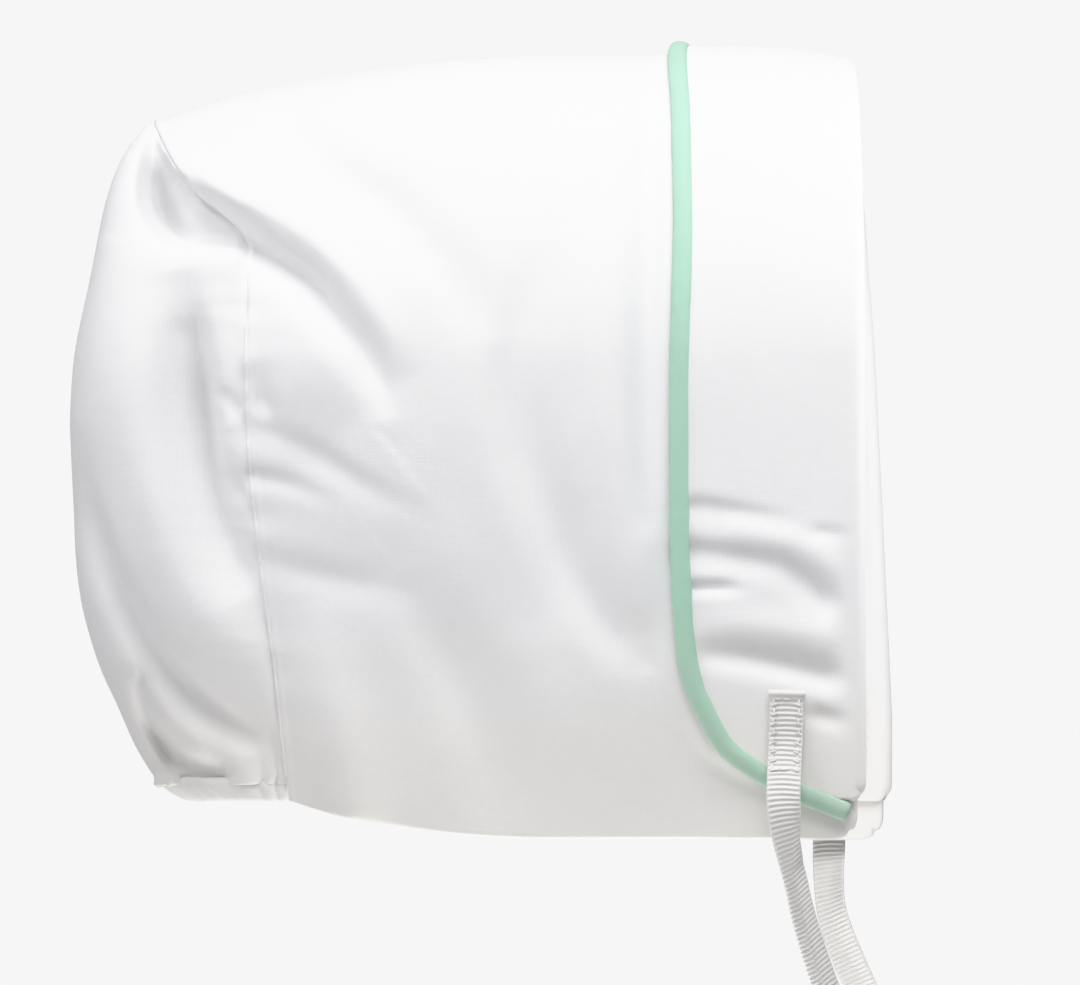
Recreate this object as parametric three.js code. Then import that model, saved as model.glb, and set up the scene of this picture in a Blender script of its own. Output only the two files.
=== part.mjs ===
// A baby's cotton christening hat: a crown band over the head, a gathered back panel, a nape
// casing, a turned-back cuff edged with mint-green piping, and a grosgrain tie on each side.
//
// Millimetres. +X is the face opening, +Y the wearer's left, +Z up. The origin is the point of
// the crown's inner face that sits on top of the head.

import * as THREE from "three";
import { mergeVertices } from "three/addons/utils/BufferGeometryUtils.js";

// Cloth and trim
const CLOTH = 1.2;
const GAP = 0.4;
const PIPING_RADIUS = 1.9;
const PIPING_HALF_HEIGHT = 1.2;
const TIE_WIDTH = 6.35;
const TIE_THICKNESS = 0.9;

// Crown band: the line along its top, which falls at the back and a little at the front
const TOP = {
  height: CLOTH + 0.55,
  flatX: 40,
  backX: -66.2,
  backDrop: 12.6,
  backPower: 3.2,
  frontX: 66,
  frontDrop: 2.6,
};

// Crown band: its cross-section at the back seam and at the front edge
const SEAM = { halfWidth: 47, shoulderZ: -60.9, hemHalfWidth: 31, hemZ: -141.5 };
const FRONT = { halfWidth: 55, shoulderZ: -58, hemHalfWidth: 50, hemZ: -148.6 };
const FRONT_SIDE_X = 70.7;
const MIDDLE_BULGE = 4;
const LEG_TAPER_POWER = 1.7;
const HEM_LEVEL_FROM = 0.47;

// The left side's front edge leans back, most at the shoulder and less and less towards the hem
const LEFT_LEAN = { most: 4.2, roundFrom: 0, roundTo: 0.22, fullZ: -39, endZ: -125 };

// Back seam seen from the side, from the top down
const SEAM_LINE = [
  { z: -10.9, x: -66.2 },
  { z: -24.9, x: -56.6 },
  { z: -35.2, x: -45.9 },
  { z: -47.3, x: -44.2 },
  { z: -66.2, x: -44.2 },
  { z: -79.4, x: -43.6 },
  { z: -100, x: -41.6 },
  { z: -117, x: -39.6 },
  { z: -141.5, x: -37.6 },
];

// Middle of the back seen from the side, from the top down
const BACK_LINE = [
  { z: -10.9, x: -66.2 },
  { z: -19.5, x: -72 },
  { z: -28.2, x: -74.9 },
  { z: -37.8, x: -76.8 },
  { z: -60.8, x: -80.3 },
  { z: -75, x: -81 },
  { z: -91.5, x: -80.3 },
  { z: -103, x: -79.1 },
  { z: -112.6, x: -76.8 },
  { z: -122.2, x: -73.2 },
  { z: -130.3, x: -70.3 },
  { z: -136, x: -66.9 },
  { z: -139.6, x: -63 },
  { z: -142, x: -55.4 },
];

// Middle of the piping seen from the side, from the top down
const PIPING_LINE = [
  { z: 3, x: 34.6 },
  { z: -14.3, x: 37.4 },
  { z: -37.5, x: 38.6 },
  { z: -69.2, x: 38.1 },
  { z: -89.5, x: 38.1 },
  { z: -102, x: 38.5 },
  { z: -114, x: 39.4 },
  { z: -120.5, x: 40.9 },
  { z: -124, x: 42.5 },
  { z: -131.4, x: 46.6 },
  { z: -135.9, x: 52.4 },
  { z: -140, x: 60.1 },
  { z: -143.8, x: 69.6 },
];

// Back panel, casing and cuff
const BACK_PANEL = { top: 0.07, bottomZ: -136.4, lap: 1.5, tuck: CLOTH + 1.5 * GAP, fullness: 0.58 };
const CASING = {
  topZ: -136.9,
  bottomZ: -141.8,
  endX: -38.1,
  halfWidth: 30.4,
  narrowing: 0.5,
  thickness: 2.4,
  pucker: 0.45,
  puckers: 13,
};
const CUFF = { bottomZ: -141.2, innerLeg: 8, shortestLeg: 1, endSpread: 0.25 };
const CORD_END_Z = PIPING_LINE[PIPING_LINE.length - 1].z;
const CORNER_RADIUS = 4;

// Over what stretch the folds fade out: at the seam, beside the piping, at the back panel's edge
// (as a share of its half-width), at its middle and at the cuff's front edge (as a share of depth)
const SEAM_FADE = { from: 2, to: 9 };
const CUFF_FADE = 6;
const BACK_EDGE_FADE = 0.12;
const BACK_MIDDLE_FADE = 12;
const CUFF_FRONT_FADE = 0.05;

// Folds move the cloth mostly sideways, so that they keep their place in the side view
const SIDEWAYS = new THREE.Vector3(0.3, 1, 0.3);

// Folds of the crown band. Each path is walked in the side view, and holds x, z and how far the
// cloth stands proud there, or lies in where it is less than nothing. left and right are the
// widths to each side of the path, and side is -1 on the wearer's right and 1 on the left.
const CROWN_FOLDS = [
  {
    name: "main crease",
    side: -1,
    left: 5,
    right: 6,
    path: [
      [-58.6, -26.4, -2.6],
      [-47.4, -37.6, -4.6],
      [-36.8, -46.8, -4.8],
      [-29.4, -55.6, -4.6],
      [-22.4, -64.8, -3],
      [-17.4, -74, -0.4],
    ],
  },
  {
    name: "ridge above the main crease",
    side: -1,
    left: 5,
    right: 4.5,
    path: [
      [-50.4, -28, 1],
      [-41.2, -34.8, 1.6],
      [-26.4, -46.4, 2],
      [-18, -58.4, 1.4],
      [-14, -70, 0.3],
    ],
  },
  {
    name: "lobe under the main crease",
    side: -1,
    left: 9,
    right: 9,
    path: [
      [-43, -52, 1],
      [-37, -60, 2.6],
      [-28, -66, 3],
      [-21, -75, 1],
    ],
  },
  {
    name: "soft band over the crown",
    side: -1,
    left: 6,
    right: 6,
    path: [
      [-34, -15, 0],
      [-24, -22, -1.6],
      [-10.4, -32.8, -1.7],
      [1.8, -54, -0.2],
    ],
  },
  {
    name: "long valley",
    side: -1,
    left: 6,
    right: 6,
    path: [
      [13.5, -40, 0],
      [9.5, -62, -2],
      [15, -85, -2.4],
      [23, -104, -2.2],
      [30, -114, -0.5],
    ],
  },
  {
    name: "ridge before the long valley",
    side: -1,
    left: 5,
    right: 6,
    path: [
      [25, -36, 0.3],
      [22, -60, 1.2],
      [25, -84, 1.4],
      [30, -102, 0.6],
    ],
  },
  {
    name: "wide lower hollow",
    side: -1,
    left: 10,
    right: 10,
    path: [
      [-16, -98, -0.8],
      [-6, -112, -2.8],
      [2, -128, -2.8],
      [6, -142, -1],
    ],
  },
  {
    name: "pull below the lobe",
    side: -1,
    left: 3.5,
    right: 5,
    path: [
      [-41, -71, -1.6],
      [-28, -77, -1.8],
      [-12, -87, -0.8],
    ],
  },
  {
    name: "main crease, other side",
    side: 1,
    left: 5,
    right: 6,
    path: [
      [-53, -28, -2],
      [-40, -39, -4.2],
      [-29, -50, -4],
      [-20, -62, -2.4],
      [-16, -70, -0.4],
    ],
  },
  {
    name: "ridge above it, other side",
    side: 1,
    left: 5,
    right: 3,
    path: [
      [-36, -31, 0.8],
      [-23, -43, 1.6],
      [-13, -58, 1.2],
    ],
  },
  {
    name: "lobe under it, other side",
    side: 1,
    left: 8,
    right: 9,
    path: [
      [-40, -52, 1.8],
      [-31, -64, 3],
      [-24, -76, 1],
    ],
  },
  {
    name: "long valley, other side",
    side: 1,
    left: 7,
    right: 6,
    path: [
      [8, -44, 0],
      [5, -66, -2],
      [12, -92, -2.4],
      [22, -112, -0.8],
    ],
  },
  {
    name: "lower hollow, other side",
    side: 1,
    left: 9,
    right: 10,
    path: [
      [-22, -96, -1],
      [-12, -114, -2.6],
      [-6, -132, -2],
    ],
  },
];

// Folds of the back panel, in the same columns
const BACK_FOLDS = [
  {
    name: "pocket under the crown",
    side: -1,
    left: 6,
    right: 3.5,
    path: [
      [-64.4, -20.4, -6],
      [-62.6, -30.4, -8],
      [-54, -34.4, -6],
    ],
  },
  {
    name: "valley beside the seam",
    side: -1,
    left: 3,
    right: 5,
    path: [
      [-56.4, -42.4, -1.8],
      [-53.4, -56, -6],
      [-51.3, -78.6, -6.6],
      [-49.2, -89, -5.6],
      [-43.6, -103, -1.4],
    ],
  },
  {
    name: "big roll",
    side: -1,
    left: 7,
    right: 8,
    path: [
      [-67, -42, 0.6],
      [-65, -62, 0.8],
      [-63, -86, 0.8],
      [-58, -104, 1],
    ],
  },
  {
    name: "valley round the roll",
    side: -1,
    left: 3.4,
    right: 3.6,
    path: [
      [-78.4, -84, -1.4],
      [-73, -103, -3],
      [-61.6, -117, -4],
      [-47.4, -129, -1.2],
    ],
  },
  {
    name: "pocket above the casing",
    side: -1,
    left: 3,
    right: 3.6,
    path: [
      [-66.6, -121, -3],
      [-62, -131, -6],
      [-55, -136.4, -4],
    ],
  },
  {
    name: "pocket under the crown, other side",
    side: 1,
    left: 6,
    right: 7,
    path: [
      [-66, -24, -2],
      [-57, -33, -4],
      [-51, -40, -2],
    ],
  },
  {
    name: "valley beside the seam, other side",
    side: 1,
    left: 4,
    right: 4,
    path: [
      [-56, -50, -1.6],
      [-54, -68, -4.4],
      [-50, -90, -4],
      [-46, -106, -1.4],
    ],
  },
  {
    name: "valley above the casing, other side",
    side: 1,
    left: 4,
    right: 4,
    path: [
      [-70, -108, -1.4],
      [-60, -120, -2.6],
      [-49, -130, -1.4],
    ],
  },
];

// Creases across the cuff, in the same columns: ridges only, because the crown lies close under it
const CUFF_FOLDS = [
  { name: "upper puff", side: -1, left: 9, right: 9, path: [[48, -78, 0.5], [66, -80, 0.7]] },
  { name: "middle puff", side: -1, left: 4.5, right: 4.5, path: [[44, -94, 0.6], [70, -96, 1]] },
  { name: "lower puff", side: -1, left: 3.5, right: 3.5, path: [[44, -107, 0.5], [70, -107, 1]] },
  { name: "left puff", side: 1, left: 6, right: 6, path: [[44, -86, 0.4], [70, -84, 0.9]] },
  { name: "left lower puff", side: 1, left: 4, right: 4, path: [[44, -104, 0.5], [70, -106, 0.9]] },
];

// Route of the right-hand tie from its sewn top end to its free end, and how far it is turned
// about its own length: 0 lies flat against the side of the hat.
const RIGHT_TIE = [
  { x: 58.2, y: -54.8, z: -120.9, turn: 0 },
  { x: 58.1, y: -54.5, z: -125.5, turn: 0 },
  { x: 58, y: -54.2, z: -130, turn: 0 },
  { x: 57.8, y: -54.7, z: -134, turn: 0 },
  { x: 57.7, y: -55.9, z: -138, turn: 2 },
  { x: 57.7, y: -56.4, z: -142, turn: 6 },
  { x: 58.1, y: -55.8, z: -146, turn: 10 },
  { x: 58.9, y: -54.4, z: -150, turn: 13 },
  { x: 59.9, y: -52.6, z: -154, turn: 15 },
  { x: 60.8, y: -50.6, z: -158, turn: 15 },
  { x: 61.5, y: -48.6, z: -162, turn: 14 },
  { x: 62.4, y: -46.4, z: -166.2, turn: 12 },
  { x: 63.5, y: -44.2, z: -170.5, turn: 9 },
  { x: 64.8, y: -42, z: -175, turn: 6 },
  { x: 66.2, y: -39.9, z: -179.5, turn: 3 },
];
const LEFT_TIE = [
  { x: 60.2, y: 54.8, z: -121.5, turn: 0 },
  { x: 60.2, y: 54.5, z: -126, turn: 0 },
  { x: 60.2, y: 54.1, z: -130.5, turn: 0 },
  { x: 60.3, y: 54.7, z: -134.5, turn: 0 },
  { x: 60.3, y: 55.9, z: -138.3, turn: 0 },
  { x: 60.4, y: 56.1, z: -142, turn: 0 },
  { x: 60.4, y: 54.8, z: -146, turn: 0 },
  { x: 60.4, y: 53.2, z: -150, turn: 2 },
  { x: 60.5, y: 51.3, z: -154, turn: 5 },
  { x: 60.8, y: 49.5, z: -158, turn: 8 },
  { x: 61.3, y: 47.6, z: -162, turn: 10 },
  { x: 62.4, y: 45.6, z: -166.2, turn: 8 },
  { x: 64, y: 43.7, z: -170.4, turn: 4 },
  { x: 65.8, y: 41.8, z: -174.6, turn: 0 },
  { x: 67.8, y: 40, z: -178.8, turn: 0 },
];

// How finely each piece is divided. The crown's columns crowd towards the back seam.
const CROWN_GRID = { deep: 24, crowding: 1.3, round: 56 };
const BACK_GRID = { across: 24, down: 20 };
const CUFF_GRID = { leg: 4, fold: 3, innerLeg: 1, round: 48 };
const PIPING_GRID = { sides: 6, steps: 56, fine: 960 };
const CASING_GRID = { across: 30, halfSection: 3 };
const TIE_STEPS = 18;
const FOLD_STEPS = 16;

// Shares of a face: the step a direction is measured over, and how far inside the edge it is
// measured, for the face itself and for the forward direction at the crown's front edge
const FACE_STEP = 0.004;
const FACE_EDGE = 0.005;
const FORWARD_STEP = 0.03;

const WHITE_COTTON = { color: 0xf1f1f2, roughness: 0.9, metalness: 0 };
const MINT_COTTON = { color: 0xbbe3d1, roughness: 0.85, metalness: 0 };
const WHITE_RIBBON = { color: 0xe8e5e3, roughness: 0.6, metalness: 0 };

const lerp = THREE.MathUtils.lerp;
const clamp = THREE.MathUtils.clamp;

// Height of the crown's outer face along its middle.
function topHeight(x) {
  const back = Math.max(0, (TOP.flatX - x) / (TOP.flatX - TOP.backX));
  const front = Math.max(0, (x - TOP.flatX) / (TOP.frontX - TOP.flatX));
  return TOP.height - TOP.backDrop * back ** TOP.backPower - TOP.frontDrop * front ** 2;
}

// x of a line table at a height, on a smooth curve that never overshoots its rows.
function lineX(line, z) {
  const last = line.length - 1;
  const height = clamp(z, line[last].z, line[0].z);
  let row = 0;
  while (row < last - 1 && height < line[row + 1].z) row += 1;
  const slope = (i) => (line[i + 1].x - line[i].x) / (line[i + 1].z - line[i].z);
  const tangent = (i) => {
    if (i === 0) return slope(0);
    if (i === last) return slope(last - 1);
    const before = slope(i - 1);
    const after = slope(i);
    return before * after <= 0 ? 0 : (2 * before * after) / (before + after);
  };
  const span = line[row + 1].z - line[row].z;
  const k = (height - line[row].z) / span;
  return (
    line[row].x * (2 * k ** 3 - 3 * k ** 2 + 1) +
    line[row + 1].x * (3 * k ** 2 - 2 * k ** 3) +
    span * tangent(row) * (k ** 3 - 2 * k ** 2 + k) +
    span * tangent(row + 1) * (k ** 3 - k ** 2)
  );
}

// Outer face of the unfolded crown. round runs from -1 at the right hem over the top to 1 at the
// left hem, and deep from 0 at the back seam to 1 at the front edge.
function crownPoint(round, deep) {
  const side = round < 0 ? -1 : 1;
  const section = crownSection(deep);
  const across = sectionPoint(section, Math.abs(round));
  const seamZ = sectionPoint(crownSection(0), Math.abs(round)).z;
  const arch = Math.min(1, Math.abs(round) * 2) * (Math.PI / 2);
  const frontX = lerp(TOP.frontX, FRONT_SIDE_X, Math.sin(arch)) - frontLean(round, across.z);
  const x = lerp(lineX(SEAM_LINE, seamZ), frontX, deep);
  return new THREE.Vector3(x, side * across.y, across.z);
}

function frontLean(round, z) {
  const down = clamp((z - LEFT_LEAN.endZ) / (LEFT_LEAN.fullZ - LEFT_LEAN.endZ), 0, 1);
  return LEFT_LEAN.most * ease(round, LEFT_LEAN.roundFrom, LEFT_LEAN.roundTo) * down;
}

function crownSection(deep) {
  const hemRise = (FRONT.hemZ - SEAM.hemZ) * Math.max(0, 1 - deep / HEM_LEVEL_FROM) ** 2;
  return {
    topZ: topHeight(lerp(TOP.backX, TOP.frontX, deep)),
    shoulderZ: lerp(SEAM.shoulderZ, FRONT.shoulderZ, deep),
    halfWidth: lerp(SEAM.halfWidth, FRONT.halfWidth, deep) + MIDDLE_BULGE * Math.sin(Math.PI * deep),
    hemHalfWidth: lerp(SEAM.hemHalfWidth, FRONT.hemHalfWidth, 1 - (1 - deep) ** 2),
    hemZ: FRONT.hemZ - hemRise,
  };
}

// Half a cross-section: a quarter ellipse from the top to the shoulder, then a leg to the hem.
function sectionPoint(section, round) {
  if (round <= 0.5) {
    const angle = round * Math.PI;
    const rise = section.topZ - section.shoulderZ;
    return {
      y: section.halfWidth * Math.sin(angle),
      z: section.shoulderZ + rise * Math.cos(angle),
    };
  }
  const leg = (round - 0.5) / 0.5;
  return {
    y: lerp(section.halfWidth, section.hemHalfWidth, leg ** LEG_TAPER_POWER),
    z: lerp(section.shoulderZ, section.hemZ, leg),
  };
}

// Outward direction of a face given by point(u, v), where u and v turn anticlockwise from outside.
function faceNormal(point, u, v) {
  const alongU = point(u + FACE_STEP, v).sub(point(u - FACE_STEP, v));
  const alongV = point(u, v + FACE_STEP).sub(point(u, v - FACE_STEP));
  return alongU.cross(alongV).normalize();
}

function crownNormal(round, deep) {
  const roundInside = clamp(round, FACE_EDGE - 1, 1 - FACE_EDGE);
  const deepInside = clamp(deep, FACE_EDGE, 1 - FACE_EDGE);
  return faceNormal((u, v) => crownPoint(v, u), deepInside, roundInside);
}

// A fold table's paths, each as many short steps along a smooth curve.
function tracedFolds(folds) {
  return folds.map((fold) => {
    const curve = new THREE.CatmullRomCurve3(fold.path.map((p) => new THREE.Vector3(...p)));
    return { ...fold, steps: curve.getPoints(FOLD_STEPS) };
  });
}

// How far the folds of one side move the cloth at a place in the side view.
function foldHeight(folds, side, x, z) {
  let total = 0;
  for (const fold of folds) {
    if (fold.side !== side) continue;
    let nearest = Infinity;
    let height = 0;
    let left = true;
    for (let i = 0; i < fold.steps.length - 1; i += 1) {
      const from = fold.steps[i];
      const to = fold.steps[i + 1];
      const dx = to.x - from.x;
      const dz = to.y - from.y;
      const along = clamp(((x - from.x) * dx + (z - from.y) * dz) / (dx * dx + dz * dz), 0, 1);
      const awayX = x - (from.x + along * dx);
      const awayZ = z - (from.y + along * dz);
      const distance = Math.hypot(awayX, awayZ);
      if (distance >= nearest) continue;
      nearest = distance;
      height = lerp(from.z, to.z, along);
      left = dx * awayZ - dz * awayX > 0;
    }
    const width = left ? fold.left : fold.right;
    total += height * Math.exp(-((nearest / width) ** 2));
  }
  return total;
}

// Smooth step from 0 to 1 over a stretch.
function ease(value, from, to) {
  const k = clamp((value - from) / (to - from), 0, 1);
  return k * k * (3 - 2 * k);
}

const crownFolds = tracedFolds(CROWN_FOLDS);
const backFolds = tracedFolds(BACK_FOLDS);
const cuffFolds = tracedFolds(CUFF_FOLDS);

// Outer face of the crown with its folds. They fade out at the seam and under the cuff.
function foldedCrown(round, deep) {
  const point = crownPoint(round, deep);
  const fromSeam = point.x - crownPoint(round, 0).x;
  const toPiping = lineX(PIPING_LINE, point.z) - PIPING_RADIUS - point.x;
  const fade = ease(fromSeam, SEAM_FADE.from, SEAM_FADE.to) * ease(toPiping, 0, CUFF_FADE);
  const side = round < 0 ? -1 : 1;
  const height = foldHeight(crownFolds, side, point.x, point.z) * fade;
  return roundedCorner(point.addScaledVector(sideways(crownNormal(round, deep)), height));
}

function sideways(normal) {
  return normal.multiply(SIDEWAYS).normalize();
}

// The crown's front corners at the hem are rounded in the side view.
function roundedCorner(point) {
  const right = point.x - (FRONT_SIDE_X - CORNER_RADIUS);
  const down = FRONT.hemZ + CORNER_RADIUS - point.z;
  if (right <= 0 || down <= 0) return point;
  const shrink = Math.max(right, down) / Math.hypot(right, down);
  point.x += right * (shrink - 1);
  point.z -= down * (shrink - 1);
  return point;
}

// Outer face of the unfolded back panel. down runs from the top of the seam to the hem, and
// across from -1 at the right seam to 1 at the left.
function backRow(down) {
  const seam = sectionPoint(crownSection(0), down);
  return { seamX: lineX(SEAM_LINE, seam.z), halfWidth: seam.y, z: seam.z };
}

function backPoint(across, row) {
  const halfWidth = row.halfWidth - BACK_PANEL.tuck;
  const z = row.z - BACK_PANEL.tuck * (1 - row.halfWidth / SEAM.halfWidth);
  const backX = Math.min(lineX(BACK_LINE, z), row.seamX - 1);
  const angle = (Math.PI / 2) * Math.sin((across * Math.PI) / 2) ** 2;
  const side = Math.sign(across);
  return new THREE.Vector3(
    row.seamX + (backX - row.seamX) * Math.cos(angle) ** BACK_PANEL.fullness,
    side * halfWidth * Math.sin(angle) ** BACK_PANEL.fullness,
    z,
  );
}

// Joins an outer grid of points and the grid a wall behind it into one closed surface.
function closedSheet(outer, thickness) {
  const columns = outer.length - 1;
  const rows = outer[0].length - 1;
  const normalAt = (i, j) => {
    const u = outer[Math.min(i + 1, columns)][j].clone().sub(outer[Math.max(i - 1, 0)][j]);
    const v = outer[i][Math.min(j + 1, rows)].clone().sub(outer[i][Math.max(j - 1, 0)]);
    return u.cross(v).normalize();
  };
  const inner = outer.map((column, i) =>
    column.map((point, j) => point.clone().addScaledVector(normalAt(i, j), -thickness)),
  );
  const corners = [];
  const quad = (a, b, c, d) => corners.push(a, b, c, a, c, d);
  for (let i = 0; i < columns; i += 1) {
    for (let j = 0; j < rows; j += 1) {
      quad(outer[i][j], outer[i + 1][j], outer[i + 1][j + 1], outer[i][j + 1]);
      quad(inner[i][j], inner[i][j + 1], inner[i + 1][j + 1], inner[i + 1][j]);
    }
    quad(inner[i][0], inner[i + 1][0], outer[i + 1][0], outer[i][0]);
    quad(outer[i][rows], outer[i + 1][rows], inner[i + 1][rows], inner[i][rows]);
  }
  for (let j = 0; j < rows; j += 1) {
    quad(outer[0][j], outer[0][j + 1], inner[0][j + 1], inner[0][j]);
    quad(inner[columns][j], inner[columns][j + 1], outer[columns][j + 1], outer[columns][j]);
  }
  return fromCorners(corners);
}

// A closed tube through rings of points, each ring anticlockwise seen from the far end.
function closedTube(rings) {
  const corners = [];
  const sides = rings[0].length;
  for (let i = 0; i < rings.length - 1; i += 1) {
    for (let k = 0; k < sides; k += 1) {
      const next = (k + 1) % sides;
      const [a, b, c, d] = [rings[i][k], rings[i][next], rings[i + 1][next], rings[i + 1][k]];
      corners.push(a, b, c, a, c, d);
    }
  }
  const first = rings[0];
  const last = rings[rings.length - 1];
  for (let k = 1; k < sides - 1; k += 1) {
    corners.push(first[0], first[k + 1], first[k]);
    corners.push(last[0], last[k], last[k + 1]);
  }
  return fromCorners(corners);
}

function fromCorners(corners) {
  const geometry = new THREE.BufferGeometry().setFromPoints(corners);
  return mergeVertices(geometry, 1e-4);
}

function grid(columns, rows, point) {
  return Array.from({ length: columns + 1 }, (_, i) =>
    Array.from({ length: rows + 1 }, (_, j) => point(i / columns, j / rows)),
  );
}

function crownBand() {
  const outer = grid(CROWN_GRID.deep, CROWN_GRID.round, (u, v) =>
    foldedCrown(2 * v - 1, u ** CROWN_GRID.crowding),
  );
  return closedSheet(outer, CLOTH);
}

// The back panel: its edge runs on under the crown by the lap, where it keeps clear of it.
function backPanel() {
  const bottom = legAt(SEAM, BACK_PANEL.bottomZ);
  const outer = grid(BACK_GRID.across, BACK_GRID.down, (u, v) => {
    const row = backRow(lerp(BACK_PANEL.top, bottom, v));
    const across = 2 * u - 1;
    const point = backPoint(across, row);
    const normal = faceNormal(
      (a, d) => backPoint(2 * a - 1, backRow(lerp(BACK_PANEL.top, bottom, d))),
      clamp(u, 2 * FACE_EDGE, 1 - 2 * FACE_EDGE),
      clamp(v, 2 * FACE_EDGE, 1 - 2 * FACE_EDGE),
    );
    const side = across < 0 ? -1 : 1;
    const middleFade = ease(Math.abs(point.y), 0, BACK_MIDDLE_FADE);
    const fade = ease(1 - Math.abs(across), 0, BACK_EDGE_FADE) * middleFade;
    const height = foldHeight(backFolds, side, point.x, point.z) * fade;
    point.addScaledVector(sideways(normal), height);
    const lap = BACK_PANEL.lap * ease(Math.abs(across), 1 - 2 / BACK_GRID.across, 1);
    point.x += lap;
    return point;
  });
  return closedSheet(outer, CLOTH);
}

// Place round a section, from 0.5 at the shoulder to 1 at the hem, of a height on its leg.
function legAt(section, z) {
  return 0.5 + (0.5 * (z - section.shoulderZ)) / (section.hemZ - section.shoulderZ);
}

// Nape casing: a flat channel with round edges that follows the hem of the back panel.
function napeCasing() {
  const half = CASING.thickness / 2;
  const centre = (down, angle) => {
    const z = lerp(CASING.topZ - half, CASING.bottomZ + half, down);
    const backX = lineX(BACK_LINE, z);
    const halfWidth = CASING.halfWidth - CASING.narrowing * down;
    const x = lerp(CASING.endX, backX + half, Math.cos(angle));
    return new THREE.Vector3(x, halfWidth * Math.sin(angle), z);
  };
  const rings = [];
  for (let i = 0; i <= CASING_GRID.across; i += 1) {
    const angle = lerp(-Math.PI / 2, Math.PI / 2, i / CASING_GRID.across);
    const top = centre(0, angle);
    const bottom = centre(1, angle);
    const down = bottom.clone().sub(top).normalize();
    const ahead = centre(0.5, angle + 0.01).sub(centre(0.5, angle - 0.01)).normalize();
    const out = down.clone().cross(ahead).normalize();
    const pucker = 1 + CASING.pucker * Math.sin(angle * CASING.puckers) * Math.cos(angle);
    const ring = [];
    for (const [middle, start] of [[top, Math.PI], [bottom, 0]]) {
      for (let k = 0; k <= CASING_GRID.halfSection; k += 1) {
        const turn = start + (Math.PI * k) / CASING_GRID.halfSection;
        ring.push(
          middle
            .clone()
            .addScaledVector(down, half * Math.sin(turn))
            .addScaledVector(out, half * Math.cos(turn) * pucker),
        );
      }
    }
    rings.push(ring);
  }
  return closedTube(rings);
}

// Place in depth where a round line of the crown passes an x.
function deepAt(round, x) {
  const seamX = crownPoint(round, 0).x;
  return (x - seamX) / (crownPoint(round, 1).x - seamX);
}

// The point of the crown's outer face on a round line that a line table runs through.
function onCrown(round, xAtHeight) {
  let deep = 0.7;
  for (let i = 0; i < 6; i += 1) deep = deepAt(round, xAtHeight(crownPoint(round, deep).z));
  return deep;
}

// Cuff edge: beside the piping, measured square to the piping's run.
function cuffEdgeX(z) {
  const step = 0.2;
  const slope = (lineX(PIPING_LINE, z + step) - lineX(PIPING_LINE, z - step)) / (2 * step);
  return lineX(PIPING_LINE, z) + (PIPING_RADIUS + GAP) * Math.hypot(1, slope);
}

// Turned-back cuff: an outer leg over the crown, a fold round its front edge and an inner leg.
function turnbackCuff() {
  const clear = CLOTH / 2 + GAP + CLOTH;
  const columns = CUFF_GRID.leg + CUFF_GRID.fold + CUFF_GRID.innerLeg;
  const end = legAt(FRONT, CUFF.bottomZ);
  const outer = grid(columns, CUFF_GRID.round, (u, v) => {
    const even = 2 * v - 1;
    const round = end * (even + CUFF.endSpread * (even - even ** 3));
    const column = Math.round(u * columns);
    const edge = crownPoint(round, 1);
    if (column <= CUFF_GRID.leg) {
      const backEdge = onCrown(round, cuffEdgeX);
      const latest = deepAt(round, edge.x - CUFF.shortestLeg);
      const deep = lerp(Math.min(backEdge, latest), 1, column / CUFF_GRID.leg);
      const point = crownPoint(round, deep);
      const side = round < 0 ? -1 : 1;
      const fade = ease(1 - deep, 0, CUFF_FRONT_FADE);
      const height = foldHeight(cuffFolds, side, point.x, point.z) * fade;
      return point.addScaledVector(crownNormal(round, deep), GAP + CLOTH + height);
    }
    const normal = crownNormal(round, 1);
    const forward = edge.clone().sub(crownPoint(round, 1 - FORWARD_STEP)).normalize();
    const middle = edge.clone().addScaledVector(normal, -CLOTH / 2);
    if (column <= CUFF_GRID.leg + CUFF_GRID.fold) {
      const turn = (Math.PI * (column - CUFF_GRID.leg)) / CUFF_GRID.fold;
      return middle
        .addScaledVector(normal, clear * Math.cos(turn))
        .addScaledVector(forward, clear * Math.sin(turn));
    }
    const back = (column - CUFF_GRID.leg - CUFF_GRID.fold) / CUFF_GRID.innerLeg;
    const deep = deepAt(round, edge.x - CUFF.innerLeg * back);
    return crownPoint(round, deep).addScaledVector(
      crownNormal(round, deep),
      -CLOTH - GAP - CLOTH,
    );
  });
  return closedSheet(outer, CLOTH);
}

// Piping: a cord pressed a little flat, that lies on the crown along the cuff's free edge.
function pipingRoute() {
  const end = legAt(FRONT, CORD_END_Z);
  const route = [];
  let length = 0;
  for (let i = 0; i <= PIPING_GRID.fine; i += 1) {
    const round = lerp(-end, end, i / PIPING_GRID.fine);
    const deep = onCrown(round, (z) => lineX(PIPING_LINE, z));
    const out = crownNormal(round, deep);
    const at = crownPoint(round, deep).addScaledVector(out, GAP + PIPING_HALF_HEIGHT);
    if (i > 0) length += at.distanceTo(route[i - 1].at);
    route.push({ at, out, length });
  }
  return route;
}

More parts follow.
